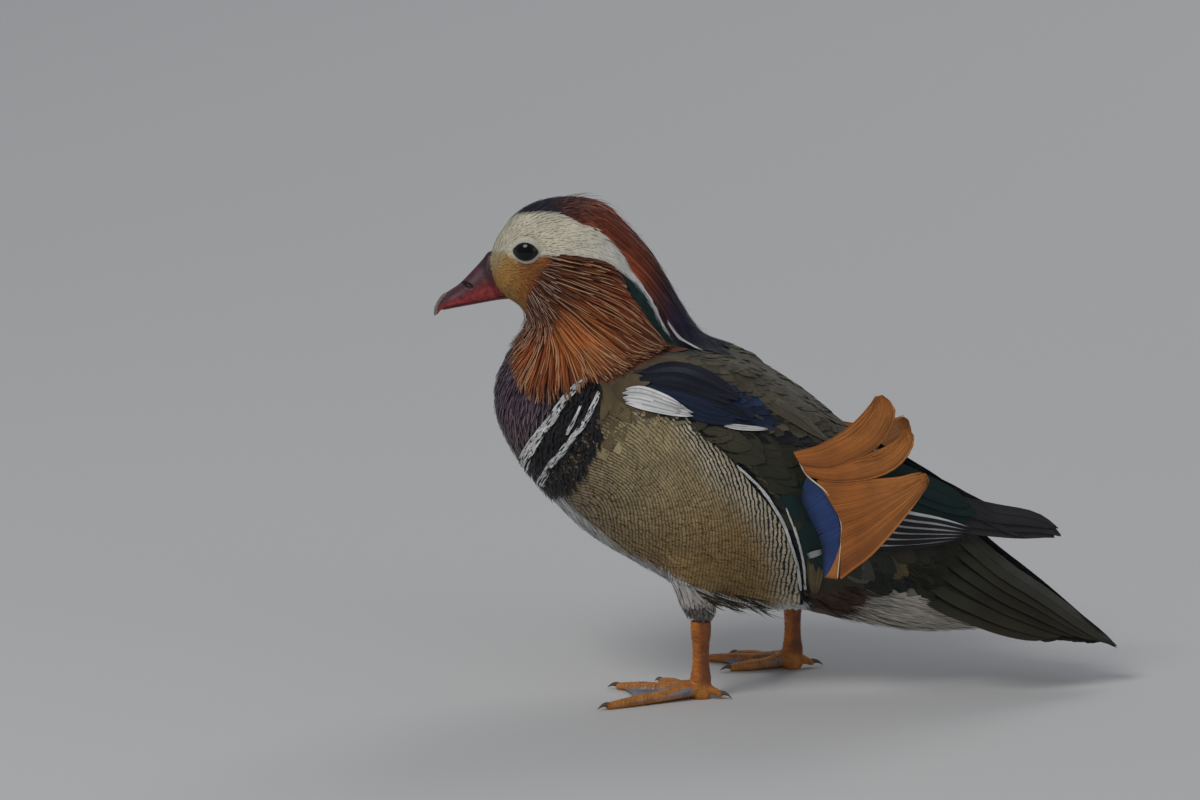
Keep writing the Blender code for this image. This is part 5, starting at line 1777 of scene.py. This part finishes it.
def make_crown(form, zone):
    coat = Coat()
    clear = off_the_eyes(form, 0.9)
    crown = in_zone(zone, "crown")
    green = in_zone(zone, "green")

    def crown_length(places):
        return 4.5 + 9 * ease(560, 640, places[:, 0])

    # Short feathers all over, then long strands to the crest's end, then loose hairs on the ridge
    grow(coat, form, crown * clear, 1.0, crown_length, 0.5, SMALL_VANE, 0.7, 81, wander=0.06,
         camber=0.03, notch=0.3, recolour=crown_tint, shade=(0.7, 0.7), within=CROWN_REACH)
    grow(coat, form, green, 1.4, 9, 0.75, SMALL_VANE, 0.9, 82, wander=0.05, camber=0.03, vary=0.2)
    places = drawn(form.centres)
    back = crown * (places[:, 0] > 575)

    def strand_length(places):
        rng = np.random.default_rng(83)
        room = np.hypot(*(CREST_END - places).T) * DRAWN_UNIT / MM
        return np.clip(room * rng.uniform(0.5, 1.0, len(places)), 8, 44)

    grow(coat, form, back, 1.15, strand_length, 0.36, STRAND, 1.8, 83, wander=0.035, camber=0.04,
         recolour=crown_tint, notch=0.3, shade=(0.8, 0.5), within=CREST_REACH)
    ridge = crown * (places[:, 0] > 555) * (np.abs(form.centres[:, 1]) < 6 * MM)
    grow(coat, form, ridge, 3.2, 13, 0.28, STRAND, 3.0, 85, wander=0.16, camber=0.04,
         recolour=crown_tint, notch=0.3, shade=(0.8, 0.6), within=CREST_REACH)
    # The white stripe low on the crest
    rng = np.random.default_rng(84)
    for _, side in SIDES:
        n = 16
        shares = rng.uniform(0, 1, n)
        line = np.array(STRIPE, float)
        paths = fan_paths(line + (-0.8, 0.8), line + (0.8, -0.8), shares, 8, rng.uniform(0, 0.4, n),
                          rng.uniform(0.7, 1.0, n))
        tint = COLOUR["white"] * rng.uniform(0.85, 1.1, (n, 1))
        vanes(coat, traced(form, paths, side), 0.28, HACKLE, (1.8, 2.4), 0.03, 3, tint, rng)
    finish = feather_finish("crown_feathers", 0.42, period=0.35, barb=0.14, vary=0.10, sheen=0.02,
                            gloss=0.35, bump=0.00008)
    coat.build("crown_coat", finish, ["crest"])


def ruff_length(places):
    room = (402 - places[:, 1]) * DRAWN_UNIT / MM
    right = (668 - places[:, 0]) * DRAWN_UNIT / MM
    long = 12 + 26 * ease(262, 296, places[:, 1])
    return np.clip(np.minimum(long, np.minimum(room + 2, 8 + right)), 6, 40)


# Patches of colour on the ruff: middle, reach and colour. The second, bright orange patch low on the ruff
# is a painted pool of light where light falls on it.
RUFF_PATCHES = [
    ((620, 305), (36, 32), (0.34, 0.066, 0.018)), ((576, 348), (38, 30), (0.74, 0.20, 0.034)),
    ((536, 366), (24, 30), (0.50, 0.115, 0.026)), ((640, 350), (26, 18), (0.26, 0.060, 0.016)),
    ((572, 272), (32, 10), (0.20, 0.050, 0.015)),
]


def ruff_tint(tint, lines, rng):
    centre = lines[0]
    places = drawn(centre.reshape(-1, 3))
    paint = np.tile(COLOUR["ruff_dark"], (len(places), 1))
    for middle, reach, colour in RUFF_PATCHES:
        near = np.exp(-(((places - middle) / reach) ** 2).sum(axis=1))[:, None]
        paint += (np.array(colour) - paint) * near
    return paint.reshape(centre.shape) * rng.lognormal(0, 0.22, (len(centre), 1, 1))


def ruff_shaft(tint, places, rng):
    strength = 0.95 - 0.75 * ease(592, 640, places[:, 0])
    strength = strength * np.where(rng.random(len(tint)) < 0.45, rng.uniform(0.6, 1.0, len(tint)), 0.08)
    colour = COLOUR["ruff_shaft"] * rng.uniform(0.6, 1.05, (len(tint), 1))
    return np.column_stack([colour, strength])


def throat_shaft(tint, places, rng):
    strength = rng.uniform(0.35, 1.0, len(tint)) * (rng.random(len(tint)) < 0.7)
    colour = np.array([0.66, 0.50, 0.38]) * rng.uniform(0.6, 1.05, (len(tint), 1))
    return np.column_stack([colour, strength])


RUFF_REACH = [
    (524, 300), (531, 268), (541, 256), (577, 258), (613, 265), (624, 282), (634, 302), (646, 322),
    (658, 338), (671, 352), (655, 360), (636, 370), (622, 380), (606, 388), (592, 388), (582, 396),
    (572, 405), (560, 410), (545, 412), (534, 404), (522, 392), (513, 378), (511, 364), (514, 350),
    (520, 335),
]


def make_ruff(form, zone):
    coat = Coat()
    places = drawn(form.centres)
    ruff = in_zone(zone, "ruff") & (places[:, 1] < 366)
    grow(coat, form, ruff, 1.55, ruff_length, 0.85, HACKLE, 2.3, 91, cols=5, wander=0.05, camber=0.06,
         shaft=ruff_shaft, recolour=ruff_tint, notch=0.2, shade=(0.7, 0.22), within=RUFF_REACH)
    throat = in_zone(zone, "ruff") & (places[:, 0] < 550) & (places[:, 1] < 342)
    grow(coat, form, throat, 1.35, 7.0, 0.42, SMALL_VANE, 2.7, 92, wander=0.10, camber=0.05,
         shaft=throat_shaft, recolour=ruff_tint, notch=0.2, shade=(0.6, 0.4), root_lift=(1.0, 1.8))
    finish = feather_finish("ruff_hackles", 0.5, period=0.4, slant=2.2, barb=0.2, vary=0.10, sheen=0.04,
                            shaft_width=0.19, gloss=0.3)
    coat.build("ruff_coat", finish)


# The sails: on each wing one broad upright feather, its edge parted into three lobes
SAIL_REACH, SAIL_DATUM = 45.4, (20.0, 85.0)
SAIL_LEAN_IN, SAIL_TOE_IN = 0.12, 0.2
SAIL_HINGE = (10.0, 106.0)
FAR_SAIL_DROP = math.radians(36.0)
FAR_SAIL_OUT = 3.6
SAIL_SHAFT = [(795, 455), (805, 474), (825, 492), (838, 518), (839, 538), (835.5, 576)]
SAIL_LOBES = [
    ([(792, 452), (815, 446), (838, 434), (853, 422), (866, 407), (875, 392.5)],
     [(800, 464), (827, 467), (845.5, 461), (864, 452), (879, 440.5), (888, 426), (892, 414), (889.5, 404),
      (883, 396.5), (877, 392.5)]),
    ([(800, 464), (828.5, 467), (853, 459), (871.5, 452.5), (888, 444), (897.5, 437), (902, 426)],
     [(806, 474), (830, 480), (857, 479), (871.5, 476), (888, 469.5), (901, 459), (908.5, 447), (911, 437),
      (908.5, 429.5), (903, 425.5)]),
    ([(815, 480), (840, 481), (857, 479.5), (879, 479), (897.5, 477), (912, 473), (926, 472)],
     [(838.5, 577), (851, 567), (868, 554), (890, 530), (910.5, 504), (923.5, 485), (928, 476)]),
]
LOBE_BARBS = (46, 46, 84)
BLUE_RIGHT = [(806, 476), (824.5, 493), (835, 513), (838, 530), (836.5, 547), (830, 564), (823, 575)]
BLUE_LEFT = [(802, 482), (800, 498), (806, 513), (816, 533), (820.5, 547), (821, 562), (821.5, 575)]
LOWER_FRINGE = ([(838, 545), (831, 563), (823, 576)], [(838.5, 547), (837, 562), (835.5, 578)])


def sail_place(places, out, side):
    """Points of a sail from places on the drawing and how far they stand off its plane, in mm."""
    x, rise = off_drawing(places)
    reach = SAIL_REACH + SAIL_DATUM[1] * SAIL_LEAN_IN - SAIL_TOE_IN * (x - SAIL_DATUM[0])
    z = (rise + reach * math.sin(TILT)) / (math.cos(TILT) + SAIL_LEAN_IN * math.sin(TILT))
    y = reach - SAIL_LEAN_IN * z + out
    if side > 0:
        dx, dz = x - SAIL_HINGE[0], z - SAIL_HINGE[1]
        x = SAIL_HINGE[0] + dx * math.cos(FAR_SAIL_DROP) + dz * math.sin(FAR_SAIL_DROP)
        z = SAIL_HINGE[1] + dz * math.cos(FAR_SAIL_DROP) - dx * math.sin(FAR_SAIL_DROP)
        y = y + FAR_SAIL_OUT
    return np.stack([x, side * y, z], axis=-1) * MM


def barbs(coat, paths, out, side, half_width, tint, rng):
    """Single barbs of a sail along drawn paths. tint is barbs x stations x 3."""
    n, rows, _ = paths.shape
    way = unit(np.gradient(paths, axis=1))
    off = np.stack([way[..., 1], -way[..., 0]], axis=-1)
    c = np.array([-1.0, 0.0, 1.0])
    shape = 0.8 + 0.2 * np.sin(np.linspace(0, math.pi, rows))
    shape[-2:] *= (0.75, 0.25)
    width = half_width[:, None, None] * shape[None, :, None] * c
    wide = width / (DRAWN_UNIT / MM)
    places = paths[:, :, None, :] + off[:, :, None, :] * wide[..., None]
    height = out[:, :, None] + 0.22 * (1 - np.abs(c)) + 0.10 * c
    grid = sail_place(places, height, side)
    seed = rng.random(n)[:, None, None]
    along = np.linspace(0, 30, rows)[None, :, None] * MM
    coat.add(grid, tint[:, :, None, :], NO_SHAFT, width * MM, along, seed, grid[:, 0, 1])


def sail_lobes(coat, side, rng):
    """Each lobe is a closed layer of broad barbs with loose fine ones over it."""
    for number, (upper, lower) in enumerate(SAIL_LOBES):
        n = LOBE_BARBS[number]
        for layer, (count, depth, ragged) in enumerate(((n, 0.0, 0.0), (int(n * 1.9), 0.4, 0.08))):
            shares = np.linspace(0, 1, count) + (rng.uniform(-0.4, 0.4, count) / count if layer else 0)
            shares = shares.clip(0, 1)
            end = 1 - ragged * rng.random(count) - 0.02
            if number < 2:
                end = end - 0.22 * rng.random(count) ** 1.5 * ease(0.55, 0.0, shares) * (layer + 0.4)
            paths = fan_paths(upper, lower, shares, 15, end=end)
            s = np.linspace(0, 1, 15)
            if number == 2:
                root = smooth_line([upper[0], *SAIL_SHAFT[3:-1], lower[0]], 40)
                root = part_way(root, shares)
                paths += (root - paths[:, 0])[:, None] * ((1 - s) ** 2)[None, :, None]
            if layer:
                paths[..., 1] += rng.normal(0, 1.2, (count, 1)) * s**3
            bow = 1.2 * np.sin(shares * math.pi)[:, None] * (1 - 0.4 * s)
            curl = 2.2 * ease(0.5, 1.0, s) ** 1.5 * (1 - 0.5 * shares[:, None])
            out = depth + bow + curl + (2 - number) * 0.5 + layer * rng.uniform(-0.15, 0.2, (count, 1))
            base = blend_of("sail", "sail_tip", np.broadcast_to(ease(0.15, 0.95, s), (count, 15)))
            # Painted shade: each lobe darkens towards its lower edge, before the pale line along that edge
            edge = 1 - 0.35 * ease(0.75, 0.96, shares) + 0.8 * ease(0.97, 0.99, shares)
            shade = rng.normal(1, 0.08, (count, 1)).clip(0.6, 1.5) * edge[:, None]
            # Painted shade: the lower layer of broad barbs is painted darker, as shade under the loose
            # barbs over it
            tint = base * (shade if layer else shade * 0.7)[..., None]
            width = np.full(count, 0.75 if layer == 0 else 0.34)
            barbs(coat, paths, out, side, width, tint, rng)


def blue_web(coat, side, rng):
    """The blue outer web, and the few pale barbs below it."""
    n = 150
    right, left = smooth_line(BLUE_RIGHT, 60), smooth_line(BLUE_LEFT, 60)
    start = np.linspace(0.0, 0.99, n)
    stop = np.clip(start + 0.05 + 0.02 * rng.random(n), 0, 1)
    first, last = part_way(right, start), part_way(left, stop)
    s = np.linspace(0, 1, 6)
    paths = first[:, None] + (last - first)[:, None] * s[None, :, None]
    shade = rng.normal(1, 0.10, (n, 1, 1)).clip(0.5, 1.6)
    shade = shade * (1 - 0.35 * ease(0.5, 1.0, s))[None, :, None]
    shade = shade * (0.65 + 0.35 * np.sin(start * math.pi))[:, None, None]
    barbs(coat, paths, np.full((n, 6), 0.3), side, np.full(n, 0.42), COLOUR["web_blue"] * shade, rng)
    paths = fan_paths(*LOWER_FRINGE, np.linspace(0, 1, 16), 8)
    tint = np.broadcast_to(COLOUR["sail_tip"] * 0.9, (16, 8, 3))
    barbs(coat, paths, np.full((16, 8), 0.2), side, np.full(16, 0.4), tint, rng)


def sail_rod(coat, side):
    """The pale shaft between the web and the lobes."""
    rod = sail_place(smooth_line(SAIL_SHAFT, 60), 0.9, side)
    ring = np.linspace(0, 2 * math.pi, 7)
    thick = np.linspace(0.42, 0.2, 60) * MM
    way = unit(np.gradient(rod, axis=0))
    outward = np.array([0.0, side, 0.0])
    across = unit(np.cross(way, outward))
    other = np.cross(way, across)
    grid = rod[:, None] + (across[:, None] * np.cos(ring)[None, :, None]
                           + other[:, None] * np.sin(ring)[None, :, None]) * thick[:, None, None]
    coat.add(grid[None], COLOUR["sail_shaft"], NO_SHAFT, np.zeros((1, 60, 7)), np.zeros((1, 60, 7)),
             np.zeros((1, 1, 1)), rod[:1])


def make_sails():
    coat = Coat()
    for _, side in SIDES:
        rng = np.random.default_rng(100)
        sail_lobes(coat, side, rng)
        blue_web(coat, side, rng)
        sail_rod(coat, side)
    finish = feather_finish("sail_barbs", 0.5, period=0.35, slant=0.5, barb=0.08, vary=0.08, sheen=0.05,
                            bump=0.00005, gloss=0.4)
    coat.build("sail_vanes", finish, [f"sail_{name}" for name, _ in SIDES])


# Flight feathers, each drawn by its own line, and how far from the middle plane they lie
WING_REACH = [
    (800, 44.0), (850, 37.0), (880, 34.0), (909, 28.0), (949, 17.5), (986, 10.0), (1024, 6.0),
    (1067, 3.0),
]


def wing_line(places, lift, side):
    """Points of a free feather from places on the drawing, on the left side or the far one."""
    places = smooth_line(places, 18)
    table = np.array(WING_REACH)
    reach = np.interp(places[:, 0], table[:, 0], table[:, 1]) + lift
    if side > 0:
        reach = -reach
    x, rise = off_drawing(places)
    z = (rise + reach * math.sin(TILT)) / math.cos(TILT)
    return np.column_stack([x, -reach, z])


def free_feather(coat, line, face, half_width, outline, colour, rng, edge=None):
    """A feather that stands free along a line in mm. face is the way that its upper side faces, and edge
    is the colour of its outer edge and the shares of its length between which that fades."""
    centre = np.array([line]) * MM
    up = np.broadcast_to(unit(np.asarray(face, float)), centre.shape)
    way = unit(np.gradient(centre, axis=1))
    up = unit(up - way * (up * way).sum(-1, keepdims=True))
    across = unit(np.cross(up, way))

    def tint(s, c, grid):
        # Painted shade: darker at the root and towards the edges, where the feathers overlap
        depth = (0.8 + (1 - 0.8) * ease(0, 0.5, s)) * (1 - (1 - 0.75) * c**2)
        paint = colour * depth[..., None]
        if edge is not None:
            rim = ease(0.0, 0.3, c) * ease(edge[2], edge[1], s)
            paint = paint + (COLOUR[edge[0]] - paint) * rim[..., None]
        return np.broadcast_to(paint, grid.shape)

    shaft = np.append(colour * 0.4, 0.8)[None]
    vanes(coat, (centre, up, across), half_width, outline, (0.0, 0.0), 0.008, 7, tint, rng, shaft, 0.3)


BLADE = [0.5, 0.8, 0.95, *[1.0] * 8, 0.98, 0.95, 0.9, 0.82, 0.68, 0.45, 0.1]
NARROW_BLADE = [
    0.5, 0.8, 0.95, *[1.0] * 4, 0.98, 0.94, 0.88, 0.8, 0.72, 0.62, 0.52, 0.42, 0.3, 0.18, 0.05,
]
# Each row: half width in mm, how far it stands off the others, colour, its line
NEAR_FEATHERS = [
    (4.6, -2.2, "primary", [(880, 500), (950, 520), (1005, 528), (1040, 532), (1055, 537)]),
    (4.8, -1.6, "primary", [(880, 490), (945, 512), (1000, 520), (1040, 525), (1061, 536)]),
    (4.4, -1.0, "primary", [(880, 480), (940, 500), (990, 512), (1030, 518), (1058, 528)]),
    (3.6, -0.4, "primary", [(870, 478), (935, 498), (980, 512), (1024, 538)]),
    (5.4, 0.2, "secondary", [(846, 478), (890, 490), (935, 507), (968, 521)]),
    (5.4, 0.8, "secondary", [(846, 468), (890, 480), (935, 497), (976, 514)]),
    (5.0, 1.4, "secondary", [(846, 458), (888, 470), (930, 488), (970, 506)]),
]
EDGED_FEATHERS = [
    [(862, 505), (905, 514), (940, 520), (975, 529)],
    [(862, 512), (900, 520.5), (935, 525), (972, 531)],
    [(862, 520), (896, 527), (932, 530), (970, 533)],
    [(862, 528), (893, 533.5), (930, 534.5), (968, 535)],
    [(862, 537), (891, 540), (928, 539), (966, 537)],
    [(862, 546), (889, 546), (926, 543.5), (960, 539)],
]
FAR_FEATHERS = [
    (4.0, -1.6, "primary", [(880, 470), (940, 486), (990, 510), (1020, 532)]),
    (4.2, -0.8, "primary", [(870, 458), (925, 476), (970, 500), (1003, 522)]),
    (5.2, 0.0, "secondary", [(846, 452), (890, 462), (935, 484), (972, 508)]),
    (5.2, 0.8, "secondary", [(840, 440), (880, 450), (925, 474), (962, 498)]),
    (5.0, 1.6, "secondary", [(835, 432), (872, 446), (910, 466), (945, 488)]),
]


def make_flight():
    coat = Coat()
    rng = np.random.default_rng(120)
    near_face, far_face = (0.0, -1.0, 0.45), (0.0, 0.75, 0.65)
    for half_width, lift, colour, line in NEAR_FEATHERS:
        free_feather(coat, wing_line(line, lift, -1), near_face, half_width, BLADE,
                     COLOUR[colour] * rng.uniform(0.6, 1.0), rng)
    for number, line in enumerate(EDGED_FEATHERS):
        free_feather(coat, wing_line(line, 2.4 - 0.45 * number, -1), near_face, 1.9, NARROW_BLADE,
                     COLOUR["primary"] * 0.5, rng, edge=("primary_edge", 0.80, 0.97))
    for half_width, lift, colour, line in FAR_FEATHERS:
        free_feather(coat, wing_line(line, lift, 1), far_face, half_width, BLADE,
                     COLOUR[colour] * rng.uniform(0.6, 1.1), rng)
    finish = feather_finish("flight_feathers", 0.45, period=0.7, slant=1.6, barb=0.12, vary=0.08,
                            sheen=0.02, shaft_width=0.3, gloss=0.3)
    coat.build("flight_feathers", finish, [f"primaries_{name}" for name, _ in SIDES])


# The closed tail's roof: x, ridge, eaves and half width in mm, and the shape of its half section
TAIL_ROOF = [
    (60.0, 80.0, 44.0, 15.0), (90.0, 70.0, 32.0, 24.0), (108.0, 56.5, 24.5, 22.0),
    (125.0, 40.5, 20.6, 16.5), (140.0, 27.5, 18.0, 10.0), (149.5, 20.0, 16.6, 4.0),
    (154.0, 16.6, 16.0, 0.6),
]
ROOF_SHAPE = ([0.0, 0.10, 0.42, 0.78, 1.0, 1.3], [0.0, 0.34, 0.72, 0.97, 0.98, 0.98])


def roof_place(places, lift, side):
    """Points on the tail's roof at places on the drawing, and the way up from it."""
    x, rise = off_drawing(places)
    table = np.array(TAIL_ROOF)
    ridge, eaves, half = (np.interp(x, table[:, 0], table[:, k]) for k in (1, 2, 3))
    y = half * 0.7
    for _ in range(12):
        z = (rise + y * math.sin(TILT)) / math.cos(TILT)
        y = 0.5 * y + 0.5 * half * np.interp((ridge - z) / (ridge - eaves), *ROOF_SHAPE)
    steep = np.clip((ridge - z) / (ridge - eaves), 0, 1)
    up = unit(np.stack([0.25 + 0 * x, side * (0.45 + 0.55 * steep), 1.0 - 0.75 * steep], axis=-1))
    point = np.stack([x, side * y, z], axis=-1)
    return point + up * lift[..., None], up


TAIL_RIDGE = [(925, 486), (967, 530), (1003, 564), (1037, 587), (1075, 615), (1124, 652)]
TAIL_EAVES = [(900, 572), (940, 600), (975, 614), (1010, 626), (1055, 638), (1119, 655)]


def make_tail():
    coat = Coat()
    rng = np.random.default_rng(130)
    n = 6
    for _, side in SIDES:
        shares = np.linspace(0.98, 0.10, n) + rng.normal(0, 0.02, n)
        end = (1.0 - 0.30 * shares.clip(0, 1) ** 1.3 + rng.normal(0, 0.012, n)).clip(0, 1)
        start = 0.02 + 0.06 * rng.random(n)
        paths = fan_paths(TAIL_RIDGE, TAIL_EAVES, shares, 18, start, end)
        lift = (0.5 + 1.4 * (1 - shares))[:, None] * (1 - 0.85 * ease(1010, 1100, paths[..., 0]))
        centre, up = roof_place(paths, lift, side)
        lines = line_frame(centre * MM, up)
        colour = COLOUR["tail"] * rng.uniform(0.7, 1.25, (n, 1))

        def tint(s, c, grid, colour=colour, side=side):
            rim = ease(0.55, 0.95, c * side) * ease(0.25, 0.6, s)
            # Painted shade: a little darker towards each feather's edges, where the feathers overlap
            paint = colour[:, None, None, :] * (1 - 0.1 * c**2)[..., None]
            return paint + (COLOUR["rufous"] * 1.3 - paint) * (rim * 0.35)[..., None]

        shaft = np.column_stack([colour * 0.4, np.full(n, 0.8)])
        vanes(coat, lines, 5.8, BLADE, (0.0, 0.4), 0.006, 7, tint, rng, shaft, 0.5)
    finish = feather_finish("tail_feathers", 0.5, period=0.7, slant=1.6, barb=0.16, vary=0.08, sheen=0.02,
                            shaft_width=0.3, gloss=0.25)
    coat.build("tail_feathers", finish, ["tail"])


put_camera()
put_stage()
skin, body = make_skin()
zones = marking(body.centres, body.facing)[1]
for make in (make_breast, make_flanks, make_belly, make_back, make_wing):
    make(body, zones)
long_feathers(body)
for make in (make_face, make_crown, make_ruff):
    make(body, zones)
make_sails()
make_flight()
make_tail()
finish_skin(skin, make_lids(body))
make_eyes()
make_bill()
make_claws()
